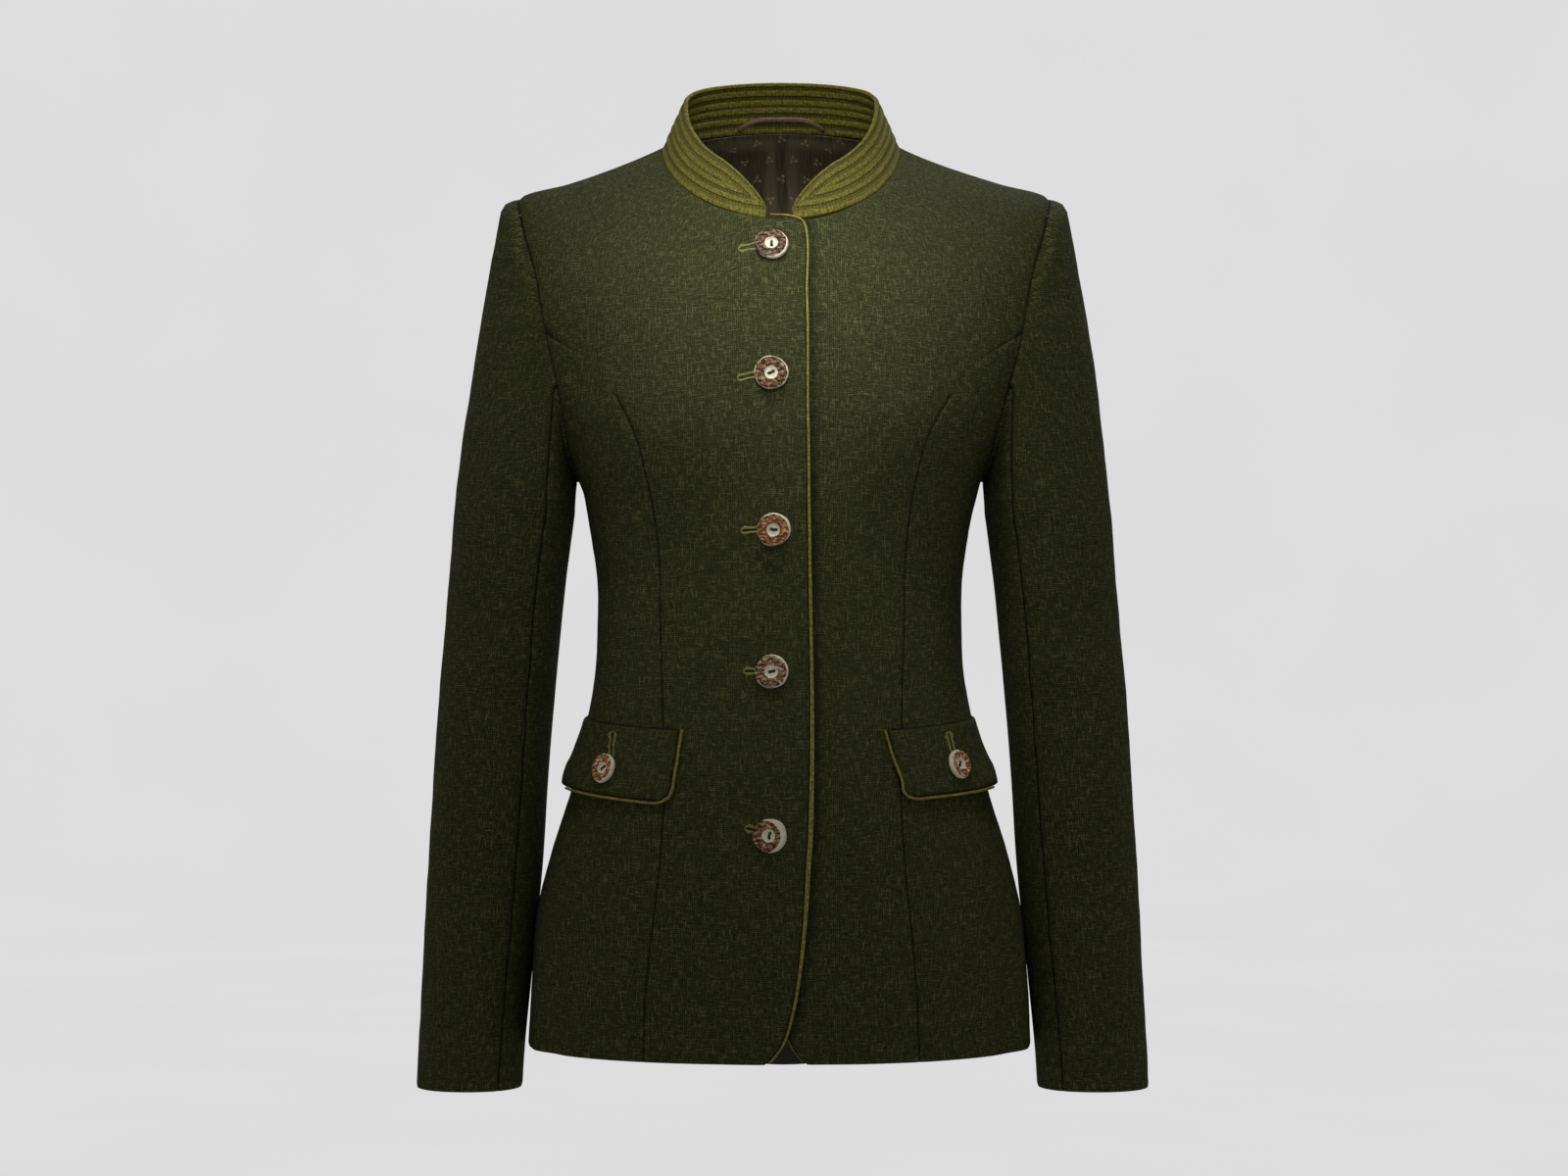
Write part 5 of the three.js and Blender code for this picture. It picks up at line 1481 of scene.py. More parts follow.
@dataclass(frozen=True)
class LiningSatin:
    """Dark brown satin with small tan sprigs: a generic dot with three leaves, at even spacing.

    wide and tall are the spacing of the sprigs, and facing is the height below which it is a linen facing. A
    painted sheen band runs a little way in from its sewn edges, and the facing is painted in a dark olive
    that includes painted shade.
    """

    wide: float = 0.018
    tall: float = 0.016
    facing: float = -0.6

    def material(self) -> bpy.types.Material:
        """Makes the material."""
        material, g = new_material("Lining satin")
        flat = g.cut_place()
        streak = g.noise(g.scaled(flat, 1200.0, 40.0), 1.0, 2.0)
        ground = g.ramp(streak, [(0.35, shade(78, 70, 52)), (0.65, shade(124, 112, 86))])
        seam = g.reading("seam")
        # Painted sheen: a lighter band a little way in from the sewn edges.
        band = g.math("MULTIPLY", g.step(seam, 0.002, 0.006), g.step(seam, 0.016, 0.008))
        ground = g.blend(g.math("MULTIPLY", band, 0.35), ground, shade(168, 156, 130))
        colour = g.blend(g.math("MULTIPLY", self._sprigs(g, flat), 0.9), ground, shade(232, 202, 146))
        # Below facing it is a linen facing, painted in a dark olive that also stands in for the shade inside
        # the hem.
        high = g.node("SeparateXYZ", {0: g.node("TexCoord").outputs["Object"]}).outputs[2]
        below = g.step(high, self.facing + MM, self.facing - MM)
        colour = g.blend(below, colour, shade(30, 32, 18))
        shine = g.bump(streak, 0.0001, 0.5, g.bump(g.noise(flat, 55.0, 2.0), 0.0012, 0.5))
        g.surface({"Base Color": colour, "Roughness": 0.42, "Specular IOR Level": 0.45,
                   "Anisotropic": 0.4, "Normal": shine})
        return material

    def _sprigs(self, g: Graph, flat: Socket) -> Socket:
        """The mask of the sprigs, each turned its own way and a little broken."""
        parts = g.node("SeparateXYZ", {0: flat})
        row = g.math("FLOOR", g.math("DIVIDE", parts.outputs[1], self.tall))
        aside = g.math("MULTIPLY", g.math("MODULO", row, 2.0), self.wide / 2)
        shifted = g.math("ADD", parts.outputs[0], aside)
        column = g.math("FLOOR", g.math("DIVIDE", shifted, self.wide))
        u = g.math("SUBTRACT", g.math("WRAP", shifted, self.wide, 0.0), self.wide / 2)
        v = g.math("SUBTRACT", g.math("WRAP", parts.outputs[1], self.tall, 0.0), self.tall / 2)
        cell = g.node("CombineXYZ", {0: row, 1: column})
        chance = g.node("TexWhiteNoise", {0: cell.outputs[0]}).outputs["Value"]
        far = g.math("SQRT", g.math("ADD", g.math("POWER", u, 2.0), g.math("POWER", v, 2.0)))
        turn = g.math("ADD", g.math("ARCTAN2", v, u), g.math("MULTIPLY", chance, 6.28))
        leaf = g.math("MULTIPLY", g.math("COSINE", g.math("MULTIPLY", turn, 3.0)), 0.0014)
        sprig = g.step(g.math("SUBTRACT", far, g.math("ADD", 0.0021, leaf)), 0.0003, -0.0003)
        heart = g.step(far, 0.0011, 0.0007)
        broken = g.step(g.noise(flat, 900.0, 2.0), 0.42, 0.55)
        return g.math("MULTIPLY", g.math("SUBTRACT", sprig, heart, clamp=True), broken)


@dataclass(frozen=True)
class Horn:
    """Antler horn: a bark-brown mottled face, cream where the slice shows its side and centre, and painted
    shade, near black, in its holes and between them.
    """

    slot_colour: tuple = shade(14, 11, 9)

    def material(self) -> bpy.types.Material:
        """Makes the material."""
        material, g = new_material("Antler horn")
        flat = g.cut_place()
        bark = g.noise(g.scaled(flat, 300.0, 520.0), 1.0, 4.0, 0.65)
        grain = g.noise(g.scaled(flat, 1500.0, 600.0), 1.0, 2.0)
        mottle = g.total((bark, 0.75), (grain, 0.25))
        grey = g.ramp(mottle, [
            (0.42, shade(48, 36, 25)), (0.48, shade(108, 88, 66)), (0.53, shade(160, 138, 108)),
            (0.59, shade(238, 222, 194)),
        ])
        rusty = g.ramp(mottle, [
            (0.41, shade(54, 26, 14)), (0.48, shade(122, 78, 50)), (0.54, shade(170, 118, 76)),
            (0.61, shade(236, 198, 152)),
        ])
        cream = g.ramp(grain, [(0.35, shade(226, 214, 182)), (0.65, shade(252, 246, 226))])
        face = g.times(g.blend(g.reading("rust"), grey, rusty), g.reading("tone"))
        ragged = g.math("MULTIPLY", g.math("SUBTRACT", bark, 0.5), 0.5)
        share = g.math("ADD", g.reading("cream"), ragged, clamp=True)
        colour = g.blend(g.step(share, 0.4, 0.6), face, cream)
        # Painted shade: the holes and the line between them are near black.
        colour = g.blend(g.reading("slot"), colour, self.slot_colour)
        rough = g.step(bark, 0.3, 0.7, 0.6, 0.8)
        g.surface({"Base Color": colour, "Roughness": rough, "Specular IOR Level": 0.12,
                   "Subsurface Weight": 0.05, "Subsurface Radius": (0.002, 0.001, 0.0006),
                   "Normal": g.bump(g.total((bark, 1.0), (grain, 0.3)), 0.0009, 0.8)})
        return material


@dataclass(frozen=True)
class Tape:
    """Brown satin tape, painted a lighter tan where it faces up, as a highlight from above."""

    weave: bpy.types.NodeTree

    def material(self) -> bpy.types.Material:
        """Makes the material."""
        material, g = new_material("Satin tape")
        woven = g.group(self.weave, {"Vector": g.cut_place(), "Threads": 2600.0, "Uneven": 0.3})
        colour = g.ramp(woven.outputs["Tone"], [(0.35, shade(84, 64, 46)), (0.65, shade(172, 142, 106))])
        # Painted highlight: a lighter tan on the faces that look up.
        up = g.node("SeparateXYZ", {0: g.node("NewGeometry").outputs["Normal"]}).outputs[2]
        top = g.step(up, 0.35, 0.85)
        colour = g.blend(g.math("MULTIPLY", top, 0.9), colour, shade(214, 184, 140))
        g.surface({"Base Color": colour, "Roughness": 0.45, "Sheen Weight": 0.1,
                   "Normal": g.bump(woven.outputs["Height"], 0.00015, 0.6)})
        return material


@dataclass(frozen=True)
class Thread:
    """Twisted sewing thread, in a dark and a light tone; in near black it is also the painted shade of the
    buttonhole slits.
    """

    name: str
    dark: tuple
    light: tuple

    def material(self) -> bpy.types.Material:
        """Makes the material."""
        material, g = new_material(self.name)
        inputs = {"Vector": g.cut_place(), "Scale": 420.0, "Distortion": 1.5, "Detail": 1.0}
        twist = g.node("TexWave", inputs, bands_direction="DIAGONAL").outputs["Fac"]
        colour = g.ramp(twist, [(0.2, self.dark), (0.8, self.light)])
        g.surface({"Base Color": colour, "Roughness": 0.6, "Sheen Weight": 0.15,
                   "Normal": g.bump(twist, 0.0002, 0.6)})
        return material


class Wardrobe:
    """Every material of the jacket, made once."""

    def __init__(self) -> None:
        """Makes the shared groups and then the materials."""
        weave, stitch = weave_group(), stitch_group()
        self.linen = Linen(weave).material()
        self.collar = CollarCloth("Quilted collar cloth", weave, stitch, 1.0, 0.85).material()
        self.piping = CollarCloth("Piping cloth", weave, None, 1.3, 1.75).material()
        self.lining = LiningSatin().material()
        self.horn = Horn().material()
        self.tape = Tape(weave).material()
        self.thread = Thread("Olive thread", shade(112, 114, 38), shade(166, 166, 68)).material()
        self.brown_thread = Thread("Brown thread", shade(16, 12, 10), shade(34, 26, 20)).material()
        # The slits' painted shade: a near-black sheet where each buttonhole opens.
        self.dark = Thread("Slit", shade(3, 3, 2), shade(6, 6, 4)).material()


# ---- Buttons and buttonholes ----
@dataclass
class Button:
    """A horn button: its place, its size, how its slot is turned and how its face leans.

    bark is how far the bark lies off the middle, so that more of the cream rim shows on the other side,
    rust goes from 0 on a grey-brown face to 1 on a rusty one, and tone below 1 makes the bark darker.
    """

    node: str
    centre: np.ndarray
    normal: np.ndarray
    radius: float
    thick: float
    turn: float
    slant: float
    bark: tuple[float, float]
    rust: float
    tone: float
    seed: int

    SIDES = 64
    HOLE_RADIUS = 1.1
    HOLE_APART = 3.4
    DISH_SHARE = 0.37
    DISH_DEPTH = 1.15
    LUMPS = ((2, 0.016), (3, 0.012), (5, 0.008), (7, 0.006), (11, 0.004))

    def axes(self) -> tuple[np.ndarray, np.ndarray]:
        """Its sideways and upward directions in its own plane."""
        side = unit(np.array([1.0, 0, 0]) - self.normal * self.normal[0])
        return side, np.cross(self.normal, side) * np.sign(np.cross(self.normal, side)[2])

    def place(self, x: Number, y: Number, h: Number) -> np.ndarray:
        """A point from its distances sideways, up and out of the cloth."""
        side, up = self.axes()
        x, y, h = (np.asarray(v, float)[..., None] for v in (x, y, h))
        return self.centre + side * (x + self.slant * h / self.thick) + up * y + self.normal * h

    def holes(self) -> np.ndarray:
        """The middles of its two holes."""
        angle = math.radians(self.turn)
        way = np.array([math.cos(angle), math.sin(angle)]) * self.HOLE_APART / 2
        return np.stack([way, -way])

    def _uneven(self, x: np.ndarray, y: np.ndarray, often: float, layer: float) -> np.ndarray:
        """The roughness of the horn at places on its face."""
        z = self.seed * layer
        return np.array([noise.noise(Vector((a * often, b * often, z))) for a, b in zip(x, y)])

    def profile(self) -> list[tuple[float, float]]:
        """Its section, as radius and height, from the middle of its dish round to the middle of its back."""
        dish, r, t = self.radius * self.DISH_SHARE, self.radius, self.thick
        inner = [(k * dish / 22, t - self.DISH_DEPTH) for k in range(1, 20)]
        face = [(mix(dish * 1.3, r - 1.5, k / 9), t) for k in range(1, 10)]
        return [*inner, (dish * 0.93, t - 0.8), (dish, t - 0.35), (dish * 1.08, t), (dish * 1.25, t + 0.06),
                *face, (r - 0.9, t - 0.12), (r - 0.4, t - 0.5), (r - 0.05, t - 1.1), (r, t * 0.5),
                (r - 0.1, 1.0), (r - 0.6, 0.35), (r - 1.4, 0.0), (r * 0.5, 0.0)]

    def make(self, piece: Piece) -> Piece:
        """Makes the disc with its rounded rough rim, its dish and its holes."""
        dish, r, t = self.radius * self.DISH_SHARE, self.radius, self.thick
        profile = self.profile()
        angle = 2 * math.pi * np.arange(self.SIDES) / self.SIDES
        phases = np.random.default_rng(self.seed).uniform(0, 2 * math.pi, len(self.LUMPS))
        wobble = sum(high * np.sin(k * angle + phase) for (k, high), phase in zip(self.LUMPS, phases))
        rings, cream, slot = [], [], []
        (ax, ay), (bx, by) = self.holes()
        for radius, height in profile:
            share = smooth(dish, r, radius)
            x, y = (radius * (1 + wobble * share) * f(angle) for f in (np.cos, np.sin))
            rough, fine = self._uneven(x, y, 0.35, 3.1), self._uneven(x, y, 1.1, 1.7)
            on_face = 1.0 if height > t - 0.6 and radius > dish else 0.15
            h = height + on_face * (0.32 * rough + 0.14 * fine) * (height > 0.2)
            for cx, cy in self.holes():
                if radius < dish * 0.95:
                    away = np.hypot(x - cx, y - cy)
                    h = h - 2.2 * smooth(self.HOLE_RADIUS + 0.2, self.HOLE_RADIUS - 0.35, away)
            rings.append(self.place(x, y, h))
            off = np.hypot(x - self.bark[0], y - self.bark[1])
            outer = smooth(r - 0.85, r - 0.3, off + 0.5 * rough) * (radius > dish * 1.3)
            centre = smooth(dish * 1.16, dish * 1.0, radius)
            cream.append(np.maximum(outer, centre))
            along = np.clip(((x - bx) * (ax - bx) + (y - by) * (ay - by)) / self.HOLE_APART ** 2, 0, 1)
            apart = np.hypot(x - mix(bx, ax, along), y - mix(by, ay, along))
            slot.append(smooth(1.15, 0.75, apart) * (radius < dish))
        count = len(profile)
        points = [self.place(0, 0, t - self.DISH_DEPTH)[None], *rings, self.place(0, 0, 0)[None]]
        back, last = 1 + count * self.SIDES, 1 + (count - 1) * self.SIDES
        faces = []
        for k in range(self.SIDES):
            n = (k + 1) % self.SIDES
            faces.append([0, 1 + k, 1 + n])
            faces.append([back, last + n, last + k])
            for j in range(count - 1):
                a, b = 1 + j * self.SIDES, 1 + (j + 1) * self.SIDES
                faces.append([a + k, b + k, b + n, a + n])
        points = np.vstack([p.reshape(-1, 3) for p in points])
        piece.make(hang(points), faces)
        flat = [np.zeros((1, 2))]
        flat += [np.stack([rad * np.cos(angle), rad * np.sin(angle) + hgt], axis=1) for rad, hgt in profile]
        flat.append(np.zeros((1, 2)))
        piece.unfold(np.vstack(flat) + self.seed * 37.0)
        piece.measure("cream", np.concatenate([[1.0], *cream, [0.5]]))
        piece.measure("slot", np.concatenate([[1.0], *slot, [0.0]]))
        piece.measure("rust", np.full(len(points), self.rust))
        piece.measure("tone", np.full(len(points), self.tone))
        return piece

    def threads(self) -> list[Tube]:
        """Three strands that join the two holes."""
        start, end = self.holes()
        way = (end - start) / np.linalg.norm(end - start)
        beside = np.array([-way[1], way[0]])
        tubes = []
        for offset in (-0.42, 0.0, 0.42):
            f = np.linspace(0, 1, 15)
            line = start[None] + (end - start)[None] * f[:, None] + beside * offset
            h = self.thick - self.DISH_DEPTH - 1.4 + 1.9 * np.sin(math.pi * f) ** 0.5
            points = self.place(line[:, 0], line[:, 1], h)
            tubes.append(Tube(points, np.tile(self.normal, (len(f), 1)), 0.5, 0.5, 8))
        return tubes


@dataclass
class Buttonhole:
    """A worked buttonhole on a piece of cloth, from its eyelet to the end under the button.

    pulled is how much wider its half is under the button than along its middle.
    """

    node: str
    ends: Sequence[float]
    pulled: float
    surface: Callable[[float, float], tuple[np.ndarray, np.ndarray]]
    seed: int

    def outline(self, half: float) -> np.ndarray:
        """Its outline: a slot of the given half width with a rounder eyelet at its start."""
        x0, z0, x1, z1 = self.ends
        length = math.hypot(x1 - x0, z1 - z0)
        angle = np.linspace(0, 2 * math.pi, 72, endpoint=False)
        along = length / 2 - np.cos(angle) * length / 2
        across = np.sign(np.sin(angle)) * np.abs(np.sin(angle)) ** 0.45 * half
        open_by = np.sign(across) * self.pulled * (along / length) ** 1.5
        across = across * (1 + 0.6 * bell(along - 2.2, 2.4)) + open_by
        way = np.array([x1 - x0, z1 - z0]) / length
        return np.array([x0, z0]) + along[:, None] * way + across[:, None] * np.array([-way[1], way[0]])

    def line(self, half: float, lift: float) -> tuple[np.ndarray, np.ndarray]:
        """Its outline's points on the cloth, raised a little, and the directions out of the cloth."""
        found = [self.surface(x, z) for x, z in self.outline(half)]
        points, normals = (np.array(part) for part in zip(*found))
        return points + normals * lift, normals

    def stitches(self) -> list[Tube]:
        """Short stitches side by side over the edge of the slot."""
        inner, normals = self.line(0.85, 0.18)
        outer, _ = self.line(2.15, 0.05)
        rows = np.hstack([inner, outer, normals])
        ring = resampled(np.vstack([rows, rows[:1]]), 74)
        reach = np.random.default_rng(self.seed).uniform(0.72, 1.18, len(ring))
        tubes = []
        for row, long in zip(ring[:-1], reach):
            a, b, normal = row[:3], mix(row[:3], row[3:6], long), unit(row[6:])
            f = np.linspace(0, 1, 6)[:, None]
            points = mix(a, b, f) + normal * 0.42 * np.sin(math.pi * f)
            tubes.append(Tube(points, np.tile(normal, (6, 1)), 0.62, 0.5, 6))
        return tubes

    def slit(self) -> tuple[np.ndarray, list]:
        """The opening between the stitches, as a near-black sheet of painted shade."""
        points, _ = self.line(0.95, 0.1)
        count = len(points)
        return np.vstack([points, points.mean(axis=0)]), [[k, (k + 1) % count, count] for k in range(count)]


# ---- The jacket ----
# x, z, the turn of its slot, how far its face leans sideways, how far the bark lies off the middle, how
# rusty it is, and its tone
FRONT_BUTTONS = [
    (-8.1, -78, 90, -0.6, (-0.5, 0.15), 0.45, 0.42), (-8.8, -167, 25, -0.3, (-0.15, 0.0), 0.6, 0.6),
    (-6.8, -274, -8, -0.6, (-0.4, -0.3), 1.0, 1.1), (-8.1, -373, 12, -0.6, (-0.5, 0.0), 0.35, 0.95),
    (-8.8, -486, 78, -1.8, (-2.9, -0.9), 0.75, 0.86),
]
FLAP_BARK = {Side.RIGHT: (-1.7, 0.8), Side.LEFT: (2.4, 0.5)}
FLAP_TONE = 1.6
FLAP_BUTTONS = {Side.RIGHT: (-121.5, -441.5, 25), Side.LEFT: (124, -439, 75)}
# x and z of its far end and of the end under the button, and how far the button pulls it open
FRONT_HOLES = [
    (-31.4, -80.4, -13, -76.8, 1.5), (-32.2, -171, -13, -166.4, 0.9), (-29.5, -275, -12, -274, 0.3),
    (-27.6, -372.6, -13, -373, 0.4), (-26.6, -480.6, -14, -483.5, 0.5),
]
FLAP_HOLES = {Side.RIGHT: (-116.2, -415.5, -117.6, -434), Side.LEFT: (117.4, -416, 121.5, -431)}
BUTTON_STAND = 0.5
HORN_RADIUS, HORN_THICK = 11.6, 4.2
FLAP_HORN_RADIUS, FLAP_HORN_THICK = 10.3, 3.8


@dataclass
class Jacket:
    """Makes every piece and keeps what each stands for."""

    stuff: Wardrobe
    pieces: dict = field(default_factory=dict)
    cuts: dict = field(default_factory=dict)

    def piece(self, name: str, slot: str, material: bpy.types.Material, node: str | None = None) -> Piece:
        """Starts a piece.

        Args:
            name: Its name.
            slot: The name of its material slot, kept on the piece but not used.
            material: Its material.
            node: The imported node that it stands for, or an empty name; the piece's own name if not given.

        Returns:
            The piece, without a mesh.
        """
        made = Piece(name, name if node is None else node, slot, material)
        self.pieces[name] = made
        return made

    def cloth(self, name: str, cloth: Cloth, slot: str = "linen",
              material: bpy.types.Material | None = None) -> None:
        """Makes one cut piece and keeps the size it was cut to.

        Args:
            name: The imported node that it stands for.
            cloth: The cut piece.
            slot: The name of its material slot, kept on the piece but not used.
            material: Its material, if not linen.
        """
        piece = self.piece("cloth_" + name, slot, material or self.stuff.linen, name)
        cloth.wall(piece)
        self.cuts[piece.name] = cloth.cut

    def body(self, side: Side, seams: Seams) -> None:
        """The four panels, the lining and the front piping of one side."""
        word = side.word
        back = seams.back
        self.cloth(f"front_{word}", panel(seams.front, lambda x: lap_rise(x, side)))
        if side is Side.LEFT:
            self.shade_lap("cloth_front_left")
        self.cloth(f"side_front_{word}", panel(seams.beside(seams.princess_front, seams.front_lower)))
        self.cloth(f"side_back_{word}", panel(seams.beside(seams.princess_back, seams.back_lower)))
        self.cloth(f"back_{word}", panel(back))
        behind = -(CLOTH / 2 + LINING_BEHIND + LINING_THICK / 2)
        lining = panel(back[::2], None, behind, LINING_THICK)
        lining.relief = lining.relief - LINING_ROLL * bell(lining.distance[Rim.SEWN] - 9.0, 6.0)
        self.cloth(f"lining_back_{word}", lining, "lining", self.stuff.lining)
        front_piping(seams).make(self.piece(f"cord_front_{word}", "collar_cloth", self.stuff.piping,
                                            f"piping_front_{word}"))

    def shade_lap(self, name: str) -> None:
        """Marks the strip of the lower front beside the upper one's edge, where a painted shadow darkens its
        colour.
        """
        mesh = self.pieces[name].thing.data
        place = np.empty(len(mesh.vertices) * 3)
        mesh.vertices.foreach_get("co", place)
        x, _, z = place.reshape(-1, 3).T / MM
        edge = np.array(FRONT_EDGE)[::-1]
        self.pieces[name].measure("lap", 1 - smooth(0, LAP_SHADOW_REACH, x - np.interp(z, edge[:, 0], edge[:, 1])))

    def sleeve(self, side: Side, seams: Seams) -> None:
        """The upper and under sleeve of one side."""
        sleeve = Sleeve(seams)
        per = seams.per
        front, back = 7 * per, 14 * per
        self.cloth(f"sleeve_{side.word}_under", sleeve.part(front, back))
        self.cloth(f"sleeve_{side.word}_upper", sleeve.part(back - sleeve.count, front))

    def flap(self, side: Side) -> None:
        """One flap with its piping, button and buttonhole."""
        word = side.word
        flap = Flap(side)
        self.cloth(f"flap_{word}", flap.cloth())
        cord = self.piece(f"cord_flap_{word}", "collar_cloth", self.stuff.piping, f"piping_flap_{word}")
        flap.piping().make(cord)
        x, z, turn = FLAP_BUTTONS[side]
        point, normal = flap.near(x, z)
        self.button(Button(f"flap_button_{word}", point + normal * BUTTON_STAND, normal, FLAP_HORN_RADIUS,
                           FLAP_HORN_THICK, turn, -0.9 * side.value, FLAP_BARK[side], 0.85, FLAP_TONE,
                           11 + side.value))
        self.hole(Buttonhole(f"flap_{word}", FLAP_HOLES[side], 0.2, flap.near, 7 + side.value))

    def button(self, button: Button) -> None:
        """One button with its threads."""
        button.make(self.piece("horn_" + button.node, "horn", self.stuff.horn, button.node))
        points, faces, flat = joined(button.threads())
        threads = self.piece("threads_" + button.node, "horn", self.stuff.brown_thread, "")
        threads.make(hang(points), faces).unfold(flat)

    def hole(self, hole: Buttonhole, number: str = "") -> None:
        """One buttonhole: its stitches and its slit."""
        name = f"buttonhole_{hole.node}{number}"
        points, faces, flat = joined(hole.stitches())
        self.piece(name, "collar_cloth", self.stuff.thread, "").make(hang(points), faces).unfold(flat)
        points, faces = hole.slit()
        slit = self.piece(name + "_slit", "linen", self.stuff.dark, "")
        slit.make(hang(points), faces).unfold(points[:, [0, 2]])

    def collar(self) -> None:
        """The collar and the hanger loop behind it."""
        collar = Collar()
        collar.make(self.piece("cloth_collar", "collar_cloth", self.stuff.collar, "collar"))
        area = float(collar.height.mean() * collar.run[-1])
        self.cuts["cloth_collar"] = (collar.run[-1] * MM, collar.full * MM, area * MM * MM)
        loop = self.piece("tape_loop", "loop_tape", self.stuff.tape, "hanger_loop")
        HangerLoop(collar.thick).tube().make(loop)

    def closing(self) -> None:
        """The front buttons and their buttonholes on the right front."""
        def on_front(x: float, z: float) -> tuple[np.ndarray, np.ndarray]:
            """The point of the right front's outer face at x and z, and the direction out of it."""
            place = SURFACE.locate(x, z)
            point, normal = SURFACE.point(place), SURFACE.normal(place)
            up = CLOTH / 2 + lap_rise(x, Side.RIGHT) + SURFACE.relief(place[None], point[None])[0]
            return point + normal * up, normal

        for k, (x, z, *looks) in enumerate(FRONT_BUTTONS, 1):
            point, normal = on_front(x, z)
            self.button(Button(f"front_button_{k}", point + normal * BUTTON_STAND, normal, HORN_RADIUS,
                               HORN_THICK, *looks, k))
        for k, (*ends, pulled) in enumerate(FRONT_HOLES, 1):
            self.hole(Buttonhole("front_right", ends, pulled, on_front, k), f"_{k}")

    def make(self) -> None:
        """Makes everything."""
        for side in Side:
            seams = Seams(side)
            self.body(side, seams)
            self.sleeve(side, seams)
            self.flap(side)
        self.collar()
        self.closing()

    def declare(self) -> None:
        """Logs the size that each sheet of cloth was cut to."""
        for name, (wide, long, area) in self.cuts.items():
            LOG.info("cut %s %.3f x %.3f m, %.4f m2", name, wide, long, area)
            area = min(area, wide * long)


# ---- The studio ----
@dataclass(frozen=True)
class Lamp:
    """An area light: its place, what it faces, its size in metres, its watts and its spread in degrees."""

    name: str
    place: tuple[float, float, float]
    aim: tuple[float, float, float]
    size: tuple[float, float]
    power: float
    spread: float

    def make(self) -> None:
        """Adds the light."""
        data = bpy.data.lights.new(self.name, "AREA")
        data.shape, data.size, data.size_y, data.energy = "RECTANGLE", *self.size, self.power
        data.spread = math.radians(self.spread)
        lamp = bpy.data.objects.new(self.name, data)
        lamp.location = self.place
        lamp.rotation_euler = (Vector(self.aim) - Vector(self.place)).to_track_quat("-Z", "Y").to_euler()
        bpy.context.scene.collection.objects.link(lamp)


LAMPS = [
    Lamp("Top", (-0.05, -0.42, 0.72), (0.0, -0.06, -0.06), (0.3, 0.2), 0.19, 24.0),
    Lamp("Chest", (0.0, -1.1, 0.5), (0.0, 0.0, -0.17), (0.2, 0.2), 0.1, 17.0),
    Lamp("Back", (0.3, 1.1, 0.9), (0.0, 0.0, -0.15), (0.6, 0.4), 0.9, 60.0),
]


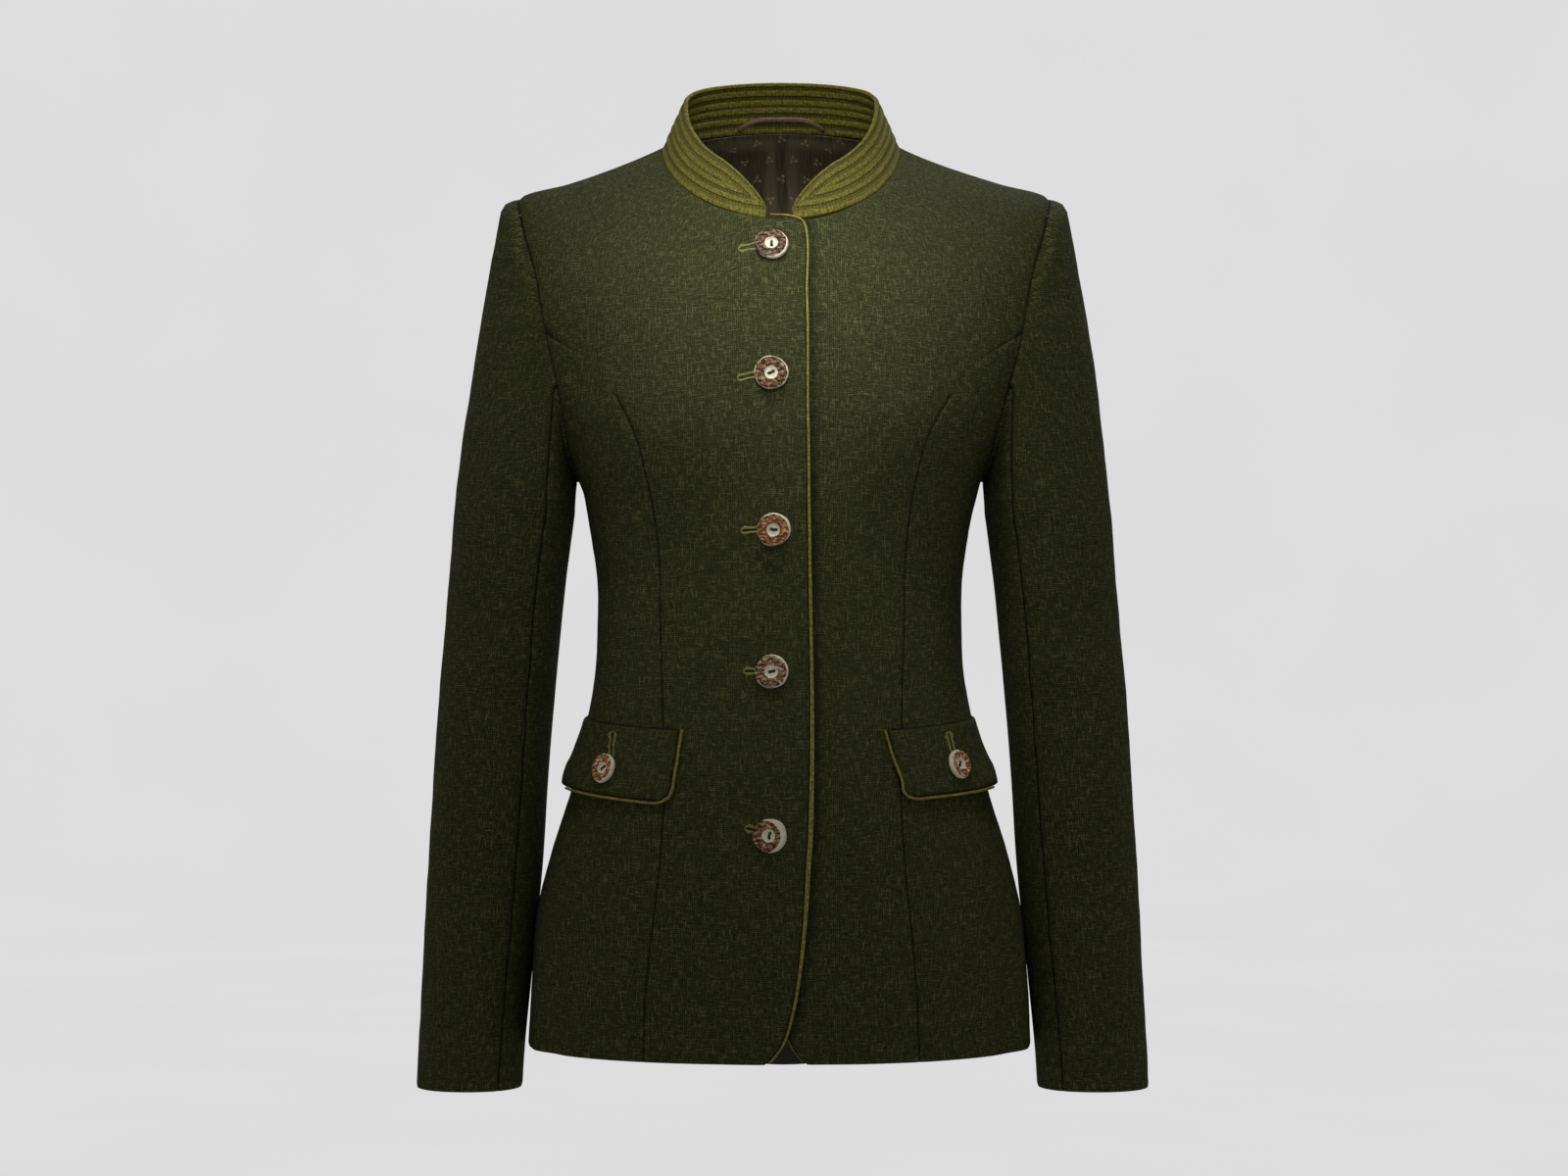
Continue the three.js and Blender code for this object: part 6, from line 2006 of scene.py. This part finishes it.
@dataclass(frozen=True)
class Studio:
    """The pale round floor that curves up into a backdrop, the lights and the camera, in metres."""

    floor: float = -0.86
    flat_radius: float = 3.6
    bend: float = 0.6
    wall_top: float = 5.0
    sky: tuple[float, float, float, float] = (1.0, 1.0, 0.95, 1.0)
    sky_strength: float = 0.228
    camera_place: tuple[float, float, float] = (0.0, -3.0, -0.315)
    lens: float = 96.43
    sensor: float = 36.0

    def sweep(self) -> None:
        """Spins the backdrop's profile round the middle, as a bowl that gives off an even pale grey."""
        turn = np.linspace(0, math.pi / 2, 13)[1:]
        curved = [(self.flat_radius + self.bend * math.sin(a), self.floor + self.bend * (1 - math.cos(a)))
                  for a in turn]
        profile = [(0.0, self.floor), (self.flat_radius, self.floor), *curved,
                   (self.flat_radius + self.bend, self.wall_top)]
        bowl = bmesh.new()
        line = [bowl.verts.new((0.0, radius, height)) for radius, height in profile]
        edges = [bowl.edges.new(pair) for pair in zip(line[:-1], line[1:])]
        bmesh.ops.spin(bowl, geom=[*line, *edges], cent=(0, 0, 0), axis=(0, 0, 1), angle=2 * math.pi,
                       steps=96, use_merge=True)
        bmesh.ops.remove_doubles(bowl, verts=bowl.verts, dist=1e-5)
        mesh = bpy.data.meshes.new("Sweep")
        bowl.to_mesh(mesh)
        bowl.free()
        mesh.shade_smooth()
        sweep = bpy.data.objects.new("Sweep", mesh)
        bpy.context.scene.collection.objects.link(sweep)
        mesh.materials.append(self.paper())
        sweep.visible_diffuse = sweep.visible_glossy = sweep.visible_shadow = False

    def paper(self) -> bpy.types.Material:
        """The backdrop's material."""
        material, g = new_material("Pale sweep")
        cloudy = g.noise(g.node("TexCoord").outputs["Object"], 3.0, 2.0)
        colour = g.ramp(cloudy, [(0.3, shade(220, 220, 220)), (0.7, shade(222, 222, 222))])
        glow = g.node("Emission", {"Color": colour, "Strength": 1.0})
        g.node("OutputMaterial", {"Surface": glow.outputs[0]})
        return material

    def light(self) -> None:
        """Sets the even light from all round and adds the lamps."""
        world = bpy.data.worlds.new("Studio")
        world.use_nodes = True
        inputs = world.node_tree.nodes["Background"].inputs
        inputs["Color"].default_value, inputs["Strength"].default_value = self.sky, self.sky_strength
        bpy.context.scene.world = world
        for lamp in LAMPS:
            lamp.make()

    def camera(self) -> None:
        """Adds the camera, level and straight in front."""
        data = bpy.data.cameras.new("Camera")
        data.sensor_width, data.lens = self.sensor, self.lens
        camera = bpy.data.objects.new("Camera", data)
        camera.location = self.camera_place
        camera.rotation_euler = (math.pi / 2, 0.0, 0.0)
        bpy.context.scene.collection.objects.link(camera)
        bpy.context.scene.camera = camera
        bpy.context.scene.view_settings.view_transform = "Standard"

    def make(self) -> None:
        """Makes the whole studio."""
        self.sweep()
        self.light()
        self.camera()


def main() -> None:
    """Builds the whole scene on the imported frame."""
    logging.basicConfig(level=logging.INFO, format="%(name)s: %(message)s")
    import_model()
    Studio().make()
    jacket = Jacket(Wardrobe())
    jacket.make()
    jacket.declare()
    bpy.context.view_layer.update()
    meshes = [thing.data for thing in bpy.data.objects if thing.type == "MESH"]
    triangles = sum(len(mesh.loops) - 2 * len(mesh.polygons) for mesh in meshes)
    LOG.info("%d triangles in all meshes", triangles)


if __name__ == "__main__":
    main()
